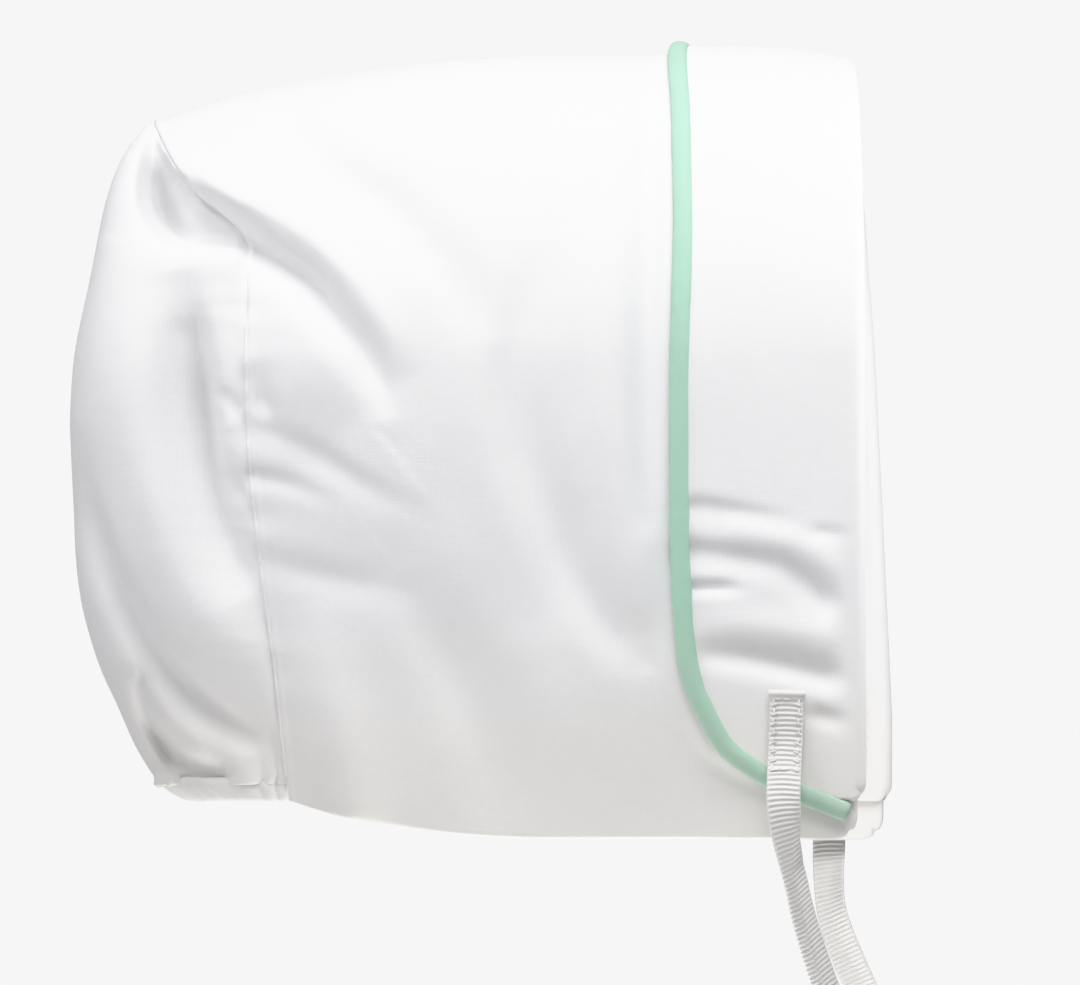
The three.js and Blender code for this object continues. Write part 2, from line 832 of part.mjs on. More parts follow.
function piping() {
  const route = pipingRoute();
  const whole = route[PIPING_GRID.fine].length;
  const stops = Array.from({ length: PIPING_GRID.steps }, (_, i) =>
    route.find((place) => place.length >= (whole * i) / PIPING_GRID.steps),
  );
  stops.push(route[PIPING_GRID.fine]);
  const rings = stops.map(({ at, out }, i) => {
    const before = stops[Math.max(i - 1, 0)].at;
    const after = stops[Math.min(i + 1, PIPING_GRID.steps)].at;
    const along = after.clone().sub(before).normalize();
    const up = out.clone().addScaledVector(along, -out.dot(along)).normalize();
    const across = up.clone().cross(along);
    return Array.from({ length: PIPING_GRID.sides }, (_, k) => {
      const turn = (2 * Math.PI * k) / PIPING_GRID.sides;
      return at
        .clone()
        .addScaledVector(across, PIPING_RADIUS * Math.cos(turn))
        .addScaledVector(up, PIPING_HALF_HEIGHT * Math.sin(turn));
    });
  });
  return closedTube(rings);
}

// A tie: a flat ribbon along its route, turned about its own length.
function tie(route, side) {
  const curve = new THREE.CatmullRomCurve3(route.map((p) => new THREE.Vector3(p.x, p.y, p.z)));
  const rings = [];
  for (let i = 0; i <= TIE_STEPS; i += 1) {
    const k = i / TIE_STEPS;
    const at = curve.getPoint(k);
    const along = curve.getTangent(k);
    const place = k * (route.length - 1);
    const row = Math.min(Math.floor(place), route.length - 2);
    const turn = THREE.MathUtils.degToRad(lerp(route[row].turn, route[row + 1].turn, place - row));
    const across = new THREE.Vector3(Math.cos(turn), -side * Math.sin(turn), 0);
    across.addScaledVector(along, -across.dot(along)).normalize();
    const out = across.clone().cross(along).normalize();
    const corner = (w, t) =>
      at
        .clone()
        .addScaledVector(across, (w * TIE_WIDTH) / 2)
        .addScaledVector(out, (t * TIE_THICKNESS) / 2);
    rings.push([corner(1, 1), corner(1, -1), corner(-1, -1), corner(-1, 1)]);
  }
  return closedTube(rings);
}

const hat = new THREE.Group();

function add(name, geometry, finish) {
  const mesh = new THREE.Mesh(geometry, new THREE.MeshStandardMaterial(finish));
  mesh.name = name;
  hat.add(mesh);
}

add("crown_band", crownBand(), WHITE_COTTON);
add("back_panel", backPanel(), WHITE_COTTON);
add("nape_casing", napeCasing(), WHITE_COTTON);
add("turnback_cuff", turnbackCuff(), WHITE_COTTON);
add("piping", piping(), MINT_COTTON);
add("tie_right", tie(RIGHT_TIE, -1), WHITE_RIBBON);
add("tie_left", tie(LEFT_TIE, 1), WHITE_RIBBON);

export default hat;
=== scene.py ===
"""A baby's cotton christening hat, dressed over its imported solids.

Lengths in the tables are millimetres, and every mesh is made in metres.
+X is out of the face opening, +Y towards the wearer's left, +Z up.
"""
import math

import bpy
import numpy as np
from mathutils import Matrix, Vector


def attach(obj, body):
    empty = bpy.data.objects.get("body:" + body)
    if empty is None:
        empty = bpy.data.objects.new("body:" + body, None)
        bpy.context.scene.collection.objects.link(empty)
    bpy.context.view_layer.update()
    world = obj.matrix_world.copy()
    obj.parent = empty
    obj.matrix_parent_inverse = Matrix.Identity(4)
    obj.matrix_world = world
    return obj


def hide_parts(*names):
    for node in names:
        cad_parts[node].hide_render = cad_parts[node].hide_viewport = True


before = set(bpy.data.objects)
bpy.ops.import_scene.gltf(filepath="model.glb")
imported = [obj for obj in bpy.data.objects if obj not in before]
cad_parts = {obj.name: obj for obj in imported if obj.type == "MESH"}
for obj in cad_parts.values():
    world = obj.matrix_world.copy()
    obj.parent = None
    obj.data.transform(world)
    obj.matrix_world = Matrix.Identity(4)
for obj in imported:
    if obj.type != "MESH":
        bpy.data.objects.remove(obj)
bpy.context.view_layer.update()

MM = 0.001
BODY = "root"

# Cloth and trim, as in the solids
CLOTH = 1.2
GAP = 0.4
PIPING_RADIUS = 1.9
PIPING_HALF_HEIGHT, PIPING_LIFT = 1.2, 1.25
TIE_WIDTH = 6.35

# The photograph, and how it looks at the hat
PHOTO_WIDTH = 1080
MM_PER_PIXEL = 0.192
CAMERA_DISTANCE = 2500
CAMERA_AZIMUTH, CAMERA_ELEVATION = math.radians(4.3), math.radians(-1.5)
VIEW_CENTRE = (7.7, 0.0, -82.4)

# Colours, and the light
COTTON, COTTON_SHADE = (0.815, 0.815, 0.82), (0.8, 0.8, 0.81)
# Painted shade: low on the hat the cotton and the mint turn darker and warmer, in place of the light
# falling off there and the warm bounce from below
COTTON_PAINTED_LOW_SHADE = (0.8, 0.788, 0.76)
MINT, MINT_SHADE, MINT_PAINTED_LOW_SHADE = (0.41, 0.65, 0.51), (0.385, 0.62, 0.48), (0.4, 0.56, 0.44)
RIBBON_WHITE, RIBBON_SHADE = (0.74, 0.73, 0.71), (0.69, 0.68, 0.655)
THREAD_WHITE = (0.87, 0.865, 0.85)
# Heights in mm over which that painted shade comes in, from none to full
PAINTED_SHADE_FROM_Z, PAINTED_SHADE_FULL_Z = -100, -145
SURROUND = (0.99, 0.99, 0.99)
BRIGHTEST = 1.6
TONES = [(0.4, 0.4), (0.7, 0.7), (0.85, 0.84), (1, 0.926), (1.2, 0.972)]
LIGHT_ABOVE, LIGHT_BELOW = (0.33, 0.335, 0.365), (0.2, 0.195, 0.185)
LIGHTS = {
    "key": dict(azimuth=15, elevation=54, distance=0.7, size=0.5, watts=4.4, colour=(1, 1, 1)),
    "back fill": dict(azimuth=-58, elevation=36, distance=1.2, size=0.6, watts=5.1,
                      colour=(0.99, 0.99, 1)),
    "light into the opening": dict(azimuth=75, elevation=18, distance=0.166, size=0.1, watts=0.11,
                                   colour=(1, 0.99, 0.98)),
    "light under the far tie": dict(azimuth=48, elevation=-81, distance=0.18, size=0.08,
                                    watts=0.15, colour=(1, 0.99, 0.975)),
}
FLOOR_COLOUR = (0.7, 0.69, 0.68)
FLOOR_Z, FLOOR_SIZE = -300, 4000

# The line along the crown's top, and its cross-sections at the back seam and the front edge
TOP = dict(height=CLOTH + 0.55, flat_x=40, back_x=-66.2, back_drop=12.6, back_power=3.2,
           front_x=66, front_drop=2.6)
SEAM = dict(half_width=47, shoulder_z=-60.9, hem_half_width=31, hem_z=-141.5)
FRONT = dict(half_width=55, shoulder_z=-58, hem_half_width=50, hem_z=-148.6)
FRONT_SIDE_X = 70.7
MIDDLE_BULGE = 4
LEG_TAPER_POWER = 1.7
HEM_LEVEL_FROM = 0.47

# The left side's front edge leans back, most at the shoulder and less and less towards the hem
LEFT_LEAN = dict(most=4.2, round_to=0.22, full_z=-39, end_z=-125)

# Lines seen from the side, from the top down, as rows of z and x
SEAM_LINE = [(-10.9, -66.2), (-24.9, -56.6), (-35.2, -45.9), (-47.3, -44.2), (-66.2, -44.2),
             (-79.4, -43.6), (-100, -41.6), (-117, -39.6), (-141.5, -37.6)]
BACK_LINE = [(-10.9, -66.2), (-19.5, -72), (-28.2, -74.9), (-37.8, -76.8), (-60.8, -80.3),
             (-75, -81), (-91.5, -80.3), (-103, -79.1), (-112.6, -76.8), (-122.2, -73.2),
             (-130.3, -70.3), (-136, -66.9), (-139.6, -63), (-142, -55.4)]
PIPING_LINE = [(3, 34.6), (-14.3, 37.4), (-37.5, 38.6), (-69.2, 38.1), (-89.5, 38.1),
               (-102, 38.5), (-114, 39.4), (-120.5, 40.9), (-124, 42.5), (-131.4, 46.6),
               (-135.9, 52.4), (-140, 60.1), (-143.8, 69.6)]

# Folds: side (-1 is the wearer's right), widths to the left and right of the path as it is walked
# in the side view, and the path as rows of x, z and height above the cloth
CROWN_FOLDS = [
    ("main crease", -1, 2.5, 2.9,
     [(-58, -26, -3), (-53, -29.4, -6.8), (-49, -32.8, -7.8), (-45, -36, -7.6),
      (-40.1, -39, -6.6), (-34.6, -42.6, -6), (-30.7, -46.2, -5.6), (-27, -50.8, -5),
      (-23.2, -55.6, -4), (-20.4, -60.4, -2.8), (-18.4, -64.6, -1.4), (-17, -70, 0)]),
    ("ridge above the main crease", -1, 3.8, 2.8,
     [(-60, -18, 0.4), (-54.3, -23.6, 2), (-49, -26.8, 2.8), (-42.5, -29.6, 2.8),
      (-36, -33, 2.5), (-30.2, -37, 2.3), (-24.2, -42.8, 2.2), (-19.8, -48.8, 1.7),
      (-15.8, -55, 1), (-13, -62, 0)]),
    ("lobe under the main crease", -1, 7, 14,
     [(-43, -45, 0.4), (-37.6, -52, 1.8), (-29.6, -60, 2.2), (-22, -69, 0.8)]),
    ("soft band over the crown", -1, 5.5, 5,
     [(-45, -10.4, -0.4), (-38, -14.6, -1.8), (-30.6, -21.4, -2.6), (-20.4, -28, -2.4),
      (-12.6, -35.2, -2.1), (-6, -42, -1.7), (-1, -49, -1.2), (0.4, -56, -0.2)]),
    ("long valley", -1, 5.6, 4.4,
     [(13, -36, -0.4), (8.8, -47.7, -1.6), (6.4, -60.8, -2.2), (8.6, -74, -2.3),
      (12.8, -87.1, -2.4), (17.2, -98.4, -2.4), (23, -107.8, -2), (29.6, -114.4, -0.8)]),
    ("ridge before the long valley", -1, 7, 6,
     [(26, -38, 0.2), (24, -58, 1), (27, -82, 1.5), (31, -100, 1.2), (33, -110, 0.2)]),
    ("ridge behind the long valley", -1, 6, 6,
     [(0, -62, 0.2), (2, -78, 0.7), (7, -92, 0.6), (13, -106, 0)]),
    ("wide lower hollow", -1, 8, 6,
     [(-15.3, -99, -0.8), (-7.7, -111.4, -2.2), (-2, -122.7, -2.8), (3.6, -139.6, -2.2),
      (5, -149, -1.6)]),
    ("swell before the lower hollow", -1, 6, 7,
     [(12, -116, 0.4), (16, -128, 0.9), (17, -138, 0.4)]),
    ("hem turning in at the front", -1, 14, 16,
     [(34, -118, -0.3), (36, -134, -1.8), (38, -149, -3.4)]),
    ("swell low beside the seam", -1, 7, 9,
     [(-33, -104, 0.4), (-30, -118, 2.2), (-27, -130, 3.8), (-25, -142, 4.6)]),
    ("hollow beside the seam", -1, 2.4, 2.6,
     [(-42, -58, -0.2), (-41.8, -63, -0.9), (-41.2, -66.6, -1.2), (-39, -69.6, -0.4)]),
    ("upper pull from the seam", -1, 2.2, 3.2,
     [(-45, -70.8, -0.6), (-36.1, -73.7, -0.8), (-28.5, -77.8, -0.9), (-21, -82.6, -0.7),
      (-11.5, -87.3, -0.2)]),
    ("middle pull from the seam", -1, 1.6, 2.2,
     [(-44.5, -80.1, -0.6), (-36.1, -81.8, -0.6), (-28.5, -85.2, -0.1)]),
    ("lower pull from the seam", -1, 3, 3.5,
     [(-42, -97, -0.5), (-30.4, -99.1, -0.9), (-15.3, -102.3, -0.3)]),
    ("shade beside the piping", -1, 3, 4,
     [(32.6, -9, -2.4), (33, -30, -2.2), (33, -60, -2), (33, -88, -0.8)]),
    ("main crease, other side", 1, 3.4, 4.4,
     [(-59, -22, -1.4), (-53, -28, -3.6), (-46, -34, -5), (-40, -39, -5.2), (-34, -44.5, -5),
      (-29, -50, -4.4), (-24, -56.4, -3.2), (-20, -62, -1.8), (-17, -69, -0.2)]),
    ("ridge above it, other side", 1, 3.6, 2.8,
     [(-55, -22, 0.6), (-45, -27.5, 1.6), (-36, -32, 2), (-28, -38.5, 2), (-22, -45.5, 1.6),
      (-17, -54, 1), (-15, -60, 0.2)]),
    ("lobe under it, other side", 1, 9, 9,
     [(-43, -50, 1.2), (-36, -59, 2.8), (-27, -66, 2.8), (-20, -77, 0.8)]),
    ("soft band, other side", 1, 6, 5,
     [(-38, -9, -0.4), (-26, -19, -1.6), (-12, -31, -1.6), (-4, -45, -0.8), (-2, -52, 0)]),
    ("long valley, other side", 1, 8, 5,
     [(9, -38, -0.4), (6, -54, -2), (6, -72, -2.6), (12, -92, -2.4), (22, -112, -0.6)]),
    ("lower hollow, other side", 1, 8, 7,
     [(-22, -96, -0.8), (-12, -114, -2.4), (-6, -132, -2.4), (-4, -147, -1.4)]),
    ("pull from the seam, other side", 1, 2.6, 3.2,
     [(-44.5, -76, -0.9), (-32, -81, -1.4), (-18, -90, -0.4)]),
    ("lower pull, other side", 1, 2.6, 3,
     [(-42, -103, -0.8), (-30, -106, -1), (-18, -112, -0.2)]),
]
BACK_FOLDS = [
    ("ridge under the pocket", -1, 2.4, 5,
     [(-67, -36.4, 0.3), (-60, -39, 1), (-53, -39.4, 1.2), (-46, -39.4, 1)]),
    ("valley beside the seam", -1, 3.2, 6,
     [(-57, -41, -0.2), (-55.6, -48, -2.4), (-54.6, -55, -6), (-53.6, -67, -8.8),
      (-52.2, -78.6, -8.4), (-49.8, -89, -5.6), (-46.8, -97, -3), (-43.8, -103, -0.8)]),
    ("big roll", -1, 7, 8,
     [(-70, -26, 0.2), (-67, -42, 0.6), (-65, -62, 1), (-61.5, -86, 2.2), (-57, -99, 3),
      (-49, -111, 3), (-41, -120, 1.4)]),
    ("valley round the roll", -1, 2.7, 3.4,
     [(-78, -70, 0), (-76, -84, -1.2), (-73, -93, -2.6), (-70.4, -100, -3.4), (-66.6, -107.6, -4),
      (-59.6, -117.4, -4.2), (-53, -124, -4), (-47, -128.4, -3), (-42.6, -131, -0.8)]),
    ("swell under that valley", -1, 3.4, 3.4,
     [(-70, -117, 0.6), (-63, -124, 1.2), (-55, -130.6, 1)]),
    ("upper leaf by the seam", -1, 1.3, 1.6,
     [(-48.6, -65.2, -0.5), (-46.2, -67.4, -0.9), (-44.2, -69, -0.4)]),
    ("lower leaf by the seam", -1, 1.4, 2,
     [(-47.8, -80.6, -0.7), (-45.6, -83.6, -1), (-43.6, -86.6, -0.4)]),
    ("pocket under the crown, other side", 1, 8, 4.6,
     [(-66.5, -18, -2), (-64, -24, -4.2), (-58, -31, -4.8), (-51, -36.6, -4), (-44, -39, -3)]),
    ("ridge under it, other side", 1, 3, 3.4,
     [(-64, -39, 0.8), (-56, -43.4, 1.2), (-48, -45, 0.8)]),
    ("valley beside the seam, other side", 1, 3, 4.4,
     [(-55, -48, -1.4), (-53.6, -58, -4.2), (-52.8, -70, -5), (-50.6, -84, -4.8),
      (-48, -96, -3.4), (-45, -107, -1)]),
    ("roll, other side", 1, 7, 7,
     [(-69, -30, 0.8), (-65.5, -50, 1.6), (-64.5, -76, 1.7), (-60, -98, 1.3), (-53, -112, 0.6)]),
    ("valley above the casing, other side", 1, 3.4, 3.6,
     [(-77, -92, -1), (-71, -106, -2.6), (-62, -117.6, -3), (-52, -127, -2), (-44, -132, -0.6)]),
    ("pocket above the casing, other side", 1, 3, 3,
     [(-66, -124, -1.4), (-61, -130.4, -3.4), (-54, -135, -2)]),
    ("lean fold down the middle", 1, 4.5, 4.5,
     [(-79.5, -44, -0.6), (-80.5, -64, -1.4), (-80.3, -86, -1.2), (-78, -108, -0.4)]),
]
# Hollows of the near side of the back panel, which go straight in, away from the camera
BACK_POCKETS = [
    ("pocket under the crown", -1, 6.6, 1.6,
     [(-64.4, -14, -1), (-64.8, -19, -6), (-64.8, -24, -12), (-63.6, -29, -15.4),
      (-60.4, -33, -14.6), (-56, -35, -12), (-50, -35.8, -9.6), (-44, -36.4, -5.6)]),
    ("pocket above the casing", -1, 2.8, 1.6,
     [(-66.2, -120.4, -2), (-65.4, -126, -4.6), (-63.2, -130.4, -6.4), (-60.4, -134.2, -6.6),
      (-56.6, -136.4, -6), (-52, -137.2, -3.2)]),
]
STRAIGHT_IN = np.array([0, -1, 0])
CUFF_FOLDS = [
    ("upper line", -1, 1.3, 3, [(41, -86, -0.9), (49, -87.4, -0.8), (58, -89, -0.2)]),
    ("puff", -1, 3, 3, [(50, -91, 0.6), (60, -93.6, 0.9), (69, -99, 0.6)]),
    ("middle crease", -1, 1.9, 3.2,
     [(40, -94.6, -1.2), (49, -95.9, -1.3), (57, -97.4, -1.1), (62, -100.6, -1.5),
      (66, -104.2, -1.5), (68.5, -107, -0.3)]),
    ("short crease", -1, 1.2, 1.2, [(40, -101.6, -1.1), (46, -101.7, -1), (50, -102, -0.2)]),
    ("crease over the tie", -1, 2.6, 2.6,
     [(44, -114, -1.1), (50, -114.6, -1.8), (58, -116.2, -2.1), (65, -118, -2),
      (72, -119.4, -1.2)]),
    ("swell over that crease", -1, 3, 3, [(46, -108, 0.3), (56, -109, 0.7), (66, -111, 0.5)]),
    ("crease beside the tie", -1, 1.5, 2, [(64, -125.4, -0.9), (68, -126.4, -1.1), (72, -127.4, -0.8)]),
    ("line at the front edge", -1, 1.2, 1.6, [(64, -91.2, -0.5), (72, -92.2, -0.8)]),
    ("left puff", 1, 6, 6, [(44, -86, 0.3), (70, -84, 0.8)]),
    ("left middle crease", 1, 2, 3.4, [(40, -93, -1.2), (54, -95, -1.3), (70, -99, -0.7)]),
    ("left lower crease", 1, 2.2, 2.4, [(44, -111, -1.1), (58, -113, -1.8), (71, -116, -1)]),
]

BACK_PANEL = dict(top=0.03, bottom_z=-136.8, fullness=0.5, narrows=(112, 137), under_crown=2.4,
                  clear=0.02, into_casing=2)
CASING = dict(top_z=-136.9, bottom_z=-141.8, end_x=-38.1, half_width=30.4, narrowing=0.5,
              fullness=0.82, thickness=2.4, pucker=0.42, pucker_pitch=3.9, uneven=0.12)
CUFF = dict(bottom_z=-141.2, under_piping=1.1, inner_leg=8, shortest_leg=1, end_spread=0.25,
            corner=3)

# Over what stretch folds fade: beside the cuff, at the hat's middle plane, and at the cuff's front
CUFF_FADE = 6
TOP_FADE = 9
BACK_MIDDLE_FADE = 12
CUFF_FRONT_FADE = 0.05

# Small unevenness of the cloth: its height in the crown, the back panel and the cuff, and its length
UNEVEN, BACK_UNEVEN, CUFF_UNEVEN = 0.22, 0.286, 0.12
UNEVEN_LENGTH = 26

# How much of a fold's height goes along x and z, for each 1 across the side view
ACROSS_VIEW = 0.3
CORNER_RADIUS = 4

# Under the cuff the crown is pressed in, from near the cuff's edge to short of the front edge, and
# follows the cuff's hollows
UNDER_CUFF = dict(depth=0.9, from_edge=(2, 8), from_front=(11, 16), follows=(-2, 2))

# The back seam: puckers and roll of the crown's edge, how the cloth is held and thinned there,
# the welt, and the gathers beside the seam and above the casing
SEAM_PUCKER, SEAM_PUCKER_LENGTH, SEAM_PUCKER_REACH = 0.22, 7, 5
SEAM_ROLL, SEAM_ROLL_AT, SEAM_ROLL_WIDTH = 0.45, 0.7, 0.7
SEAM_HOLD = 1.6
SEAM_EDGE, SEAM_EDGE_REACH = 0.25, 2.6
SEAM_WELT = dict(radius=0.42, from_z=-45, full_z=-56, start=0.2, uneven=0.12, sunk=(1.4, 0.25))
SEAM_GATHER, SEAM_GATHER_PITCH, SEAM_GATHER_REACH, SEAM_GATHER_FROM = 0.2, 6.5, 9, 3
HEM_GATHER, HEM_GATHER_PITCH, HEM_GATHER_REACH = 0.7, 4.6, 4.5
HEM_HALF_RUN = 47
TUCK_STEPS = np.array([0.25, 0.5, 0.75, 1])
NEAR_SIDE_FINER = 0.12

# Ribbon, and the thread that sews it on
RIBBON_THICKNESS = 0.5
RIB_PITCH, RIB_HEIGHT, RIB_BOW = 0.95, 0.11, 0.25
RIBS_END, EDGE_HALF = (0.84, 0.95), 0.15
TURNED_END = dict(wider=0.1, thicker=0.55, at=0.75, reach=0.8)
SEWN_FROM, SEWN_TO = 1.6, 15.2
STITCH_LENGTH, STITCH_EDGE, STITCH_LIFT, THREAD = 1.5, 2.35, 0.34, 0.34
CUFF_STITCHING = dict(inwards=2.5, lift=0.05, thread=0.26, round_to=0.97)

# Routes of the ties as rows of x, y, z and turn in degrees about the tie's own length
RIGHT_TIE = [
    (58.2, -54.8, -120.9, 0), (58.1, -54.5, -125.5, 0), (58, -54.2, -130, 0),
    (57.8, -54.7, -134, 0), (57.7, -55.9, -138, 2), (57.7, -56.4, -142, 6),
    (58.1, -55.8, -146, 10), (58.9, -54.4, -150, 13), (59.9, -52.6, -154, 15),
    (60.8, -50.6, -158, 15), (61.5, -48.6, -162, 14), (62.4, -46.4, -166.2, 12),
    (63.5, -44.2, -170.5, 9), (64.8, -42, -175, 6), (66.2, -39.9, -179.5, 3),
]
LEFT_TIE = [
    (60.2, 54.8, -121.5, 0), (60.2, 54.5, -126, 0), (60.2, 54.1, -130.5, 0),
    (60.3, 54.7, -134.5, 0), (60.3, 55.9, -138.3, 0), (60.4, 56.1, -142, 0),
    (60.4, 54.8, -146, 0), (60.4, 53.2, -150, 2), (60.5, 51.3, -154, 5),
    (60.8, 49.5, -158, 8), (61.3, 47.6, -162, 10), (62.4, 45.6, -166.2, 8),
    (64, 43.7, -170.4, 4), (65.8, 41.8, -174.6, 0), (67.8, 40, -178.8, 0),
]

# Lengthwise curl of each tie: place across it, from -1 to 1, where it starts, down from a height
RIGHT_CURL = dict(angle=52, heights=(-177, -155, -153, -149, -142.5, -136),
                  starts=(-0.3, -0.3, -0.1, 0.2, 0.64, 1), from_z=-138, full_z=-151)
LEFT_CURL = dict(angle=26, heights=(-178, -164, -150, -142), starts=(0.3, -0.2, 0.5, 1),
                 from_z=-146, full_z=-158)
CURL_SOFTNESS = 0.12


# Camera

def look_from(obj, azimuth, elevation, distance):
    """Adds a camera or a light that looks at the view's centre, from a distance in metres."""
    back = Vector((math.sin(azimuth) * math.cos(elevation),
                   -math.cos(azimuth) * math.cos(elevation), math.sin(elevation)))
    obj.location = Vector(VIEW_CENTRE) * MM + back * distance
    obj.rotation_mode = "QUATERNION"
    obj.rotation_quaternion = (-back).to_track_quat("-Z", "Y")
    bpy.context.collection.objects.link(obj)


def make_camera():
    """A long lens at the photograph's angle, framed so that the photograph's pixels line up."""
    data = bpy.data.cameras.new("camera")
    data.sensor_fit = "HORIZONTAL"
    data.sensor_width = 36
    data.lens = data.sensor_width * CAMERA_DISTANCE / (PHOTO_WIDTH * MM_PER_PIXEL)
    data.clip_start = 0.1
    data.clip_end = 50
    camera = bpy.data.objects.new("camera", data)
    look_from(camera, CAMERA_AZIMUTH, CAMERA_ELEVATION, CAMERA_DISTANCE * MM)
    bpy.context.scene.camera = camera


# Shape of the cloth

def lerp(a, b, k):
    return a + (b - a) * k


def ease(value, start, end):
    k = np.clip((value - start) / (end - start), 0, 1)
    return k * k * (3 - 2 * k)


def top_height(x):
    back = np.maximum(0, (TOP["flat_x"] - x) / (TOP["flat_x"] - TOP["back_x"]))
    front = np.maximum(0, (x - TOP["flat_x"]) / (TOP["front_x"] - TOP["flat_x"]))
    return TOP["height"] - TOP["back_drop"] * back ** TOP["back_power"] - TOP["front_drop"] * front**2


def line_x(line, z):
    """x of a line at a height, on a smooth curve that never overshoots its rows."""
    rows = np.array(line[::-1], float)
    heights, xs = rows[:, 0], rows[:, 1]
    slope = np.diff(xs) / np.diff(heights)
    tangent = np.empty(len(xs))
    tangent[0], tangent[-1] = slope[0], slope[-1]
    before, after = slope[:-1], slope[1:]
    total = np.where(before + after == 0, 1, before + after)
    tangent[1:-1] = np.where(before * after <= 0, 0, 2 * before * after / total)
    z = np.clip(z, heights[0], heights[-1])
    row = np.clip(np.searchsorted(heights, z, side="right") - 1, 0, len(slope) - 1)
    span = heights[row + 1] - heights[row]
    k = (z - heights[row]) / span
    return (xs[row] * (2 * k**3 - 3 * k**2 + 1) + xs[row + 1] * (3 * k**2 - 2 * k**3)
            + span * tangent[row] * (k**3 - 2 * k**2 + k)
            + span * tangent[row + 1] * (k**3 - k**2))


def crown_section(deep):
    rise = (FRONT["hem_z"] - SEAM["hem_z"]) * np.maximum(0, 1 - deep / HEM_LEVEL_FROM) ** 2
    return dict(
        top_z=top_height(lerp(TOP["back_x"], TOP["front_x"], deep)),
        shoulder_z=lerp(SEAM["shoulder_z"], FRONT["shoulder_z"], deep),
        half_width=lerp(SEAM["half_width"], FRONT["half_width"], deep)
        + MIDDLE_BULGE * np.sin(np.pi * deep),
        hem_half_width=lerp(SEAM["hem_half_width"], FRONT["hem_half_width"], 1 - (1 - deep) ** 2),
        hem_z=FRONT["hem_z"] - rise,
    )


def section_point(section, round_):
    """y and z of half a cross-section: a quarter ellipse to the shoulder, then a leg to the hem."""
    angle = np.minimum(round_, 0.5) * np.pi
    leg = np.maximum(round_ - 0.5, 0) / 0.5
    y = section["half_width"] * np.sin(angle)
    y = np.where(round_ > 0.5,
                 lerp(section["half_width"], section["hem_half_width"], leg**LEG_TAPER_POWER), y)
    z = section["shoulder_z"] + (section["top_z"] - section["shoulder_z"]) * np.cos(angle)
    z = np.where(round_ > 0.5, lerp(section["shoulder_z"], section["hem_z"], leg), z)
    return y, z


def leg_at(section, z):
    return 0.5 + 0.5 * (z - section["shoulder_z"]) / (section["hem_z"] - section["shoulder_z"])


def crown_point(round_, deep):
    """Outer face of the unfolded crown, for round from -1 to 1 and deep from 0 to 1."""
    round_, deep = np.broadcast_arrays(np.asarray(round_, float), np.asarray(deep, float))
    side = np.where(round_ < 0, -1.0, 1.0)
    y, z = section_point(crown_section(deep), np.abs(round_))
    seam_z = section_point(crown_section(np.zeros_like(deep)), np.abs(round_))[1]
    arch = np.minimum(1, np.abs(round_) * 2) * (np.pi / 2)
    down = np.clip((z - LEFT_LEAN["end_z"]) / (LEFT_LEAN["full_z"] - LEFT_LEAN["end_z"]), 0, 1)
    lean = LEFT_LEAN["most"] * ease(round_, 0, LEFT_LEAN["round_to"]) * down
    front_x = lerp(TOP["front_x"], FRONT_SIDE_X, np.sin(arch)) - lean
    x = lerp(line_x(SEAM_LINE, seam_z), front_x, deep)
    return np.stack([x, side * y, z], axis=-1)


def unit(v):
    return v / np.maximum(np.linalg.norm(v, axis=-1, keepdims=True), 1e-9)


def face_normal(point, u, v, step=0.004):
    along_u = point(u + step, v) - point(u - step, v)
    along_v = point(u, v + step) - point(u, v - step)
    return unit(np.cross(along_u, along_v))


def crown_normal(round_, deep):
    round_, deep = np.broadcast_arrays(np.asarray(round_, float), np.asarray(deep, float))
    return face_normal(lambda u, v: crown_point(v, u), np.clip(deep, 0.005, 0.995),
                       np.clip(round_, -0.995, 0.995))


def smooth_path(rows, steps):
    """Catmull-Rom points along rows of numbers, the same number of steps in each span."""
    p = np.array(rows, float)
    p = np.vstack([2 * p[0] - p[1], p, 2 * p[-1] - p[-2]])
    out = []
    for i in range(1, len(p) - 2):
        a, b, c, d = p[i - 1:i + 3]
        for k in np.arange(steps) / steps:
            out.append(0.5 * (2 * b + (c - a) * k + (2 * a - 5 * b + 4 * c - d) * k**2
                              + (3 * b - a - 3 * c + d) * k**3))
    out.append(p[-2])
    return np.array(out)


def fold_height(folds, side, x, z):
    """How far the folds of each point's own side move the cloth at its place in the side view."""
    total = np.zeros_like(x)
    for _, fold_side, left, right, path in folds:
        mask = side == fold_side
        steps = smooth_path(path, 5)
        start, run = steps[:-1], np.diff(steps, axis=0)
        px, pz = x[mask][:, None], z[mask][:, None]
        along = np.clip(((px - start[:, 0]) * run[:, 0] + (pz - start[:, 1]) * run[:, 1])
                        / (run[:, 0] ** 2 + run[:, 1] ** 2), 0, 1)
        away_x = px - (start[:, 0] + along * run[:, 0])
        away_z = pz - (start[:, 1] + along * run[:, 1])
        distance = np.hypot(away_x, away_z)
        nearest = np.argmin(distance, axis=1)
        pick = (np.arange(len(nearest)), nearest)
        height = start[nearest, 2] + along[pick] * run[nearest, 2]
        on_left = run[nearest, 0] * away_z[pick] - run[nearest, 1] * away_x[pick] > 0
        width = np.where(on_left, left, right)
        total[mask] += height * np.exp(-((distance[pick] / width) ** 2))
    return total


def grid_normals(points):
    return unit(np.cross(np.gradient(points, axis=0), np.gradient(points, axis=1)))


# Meshes

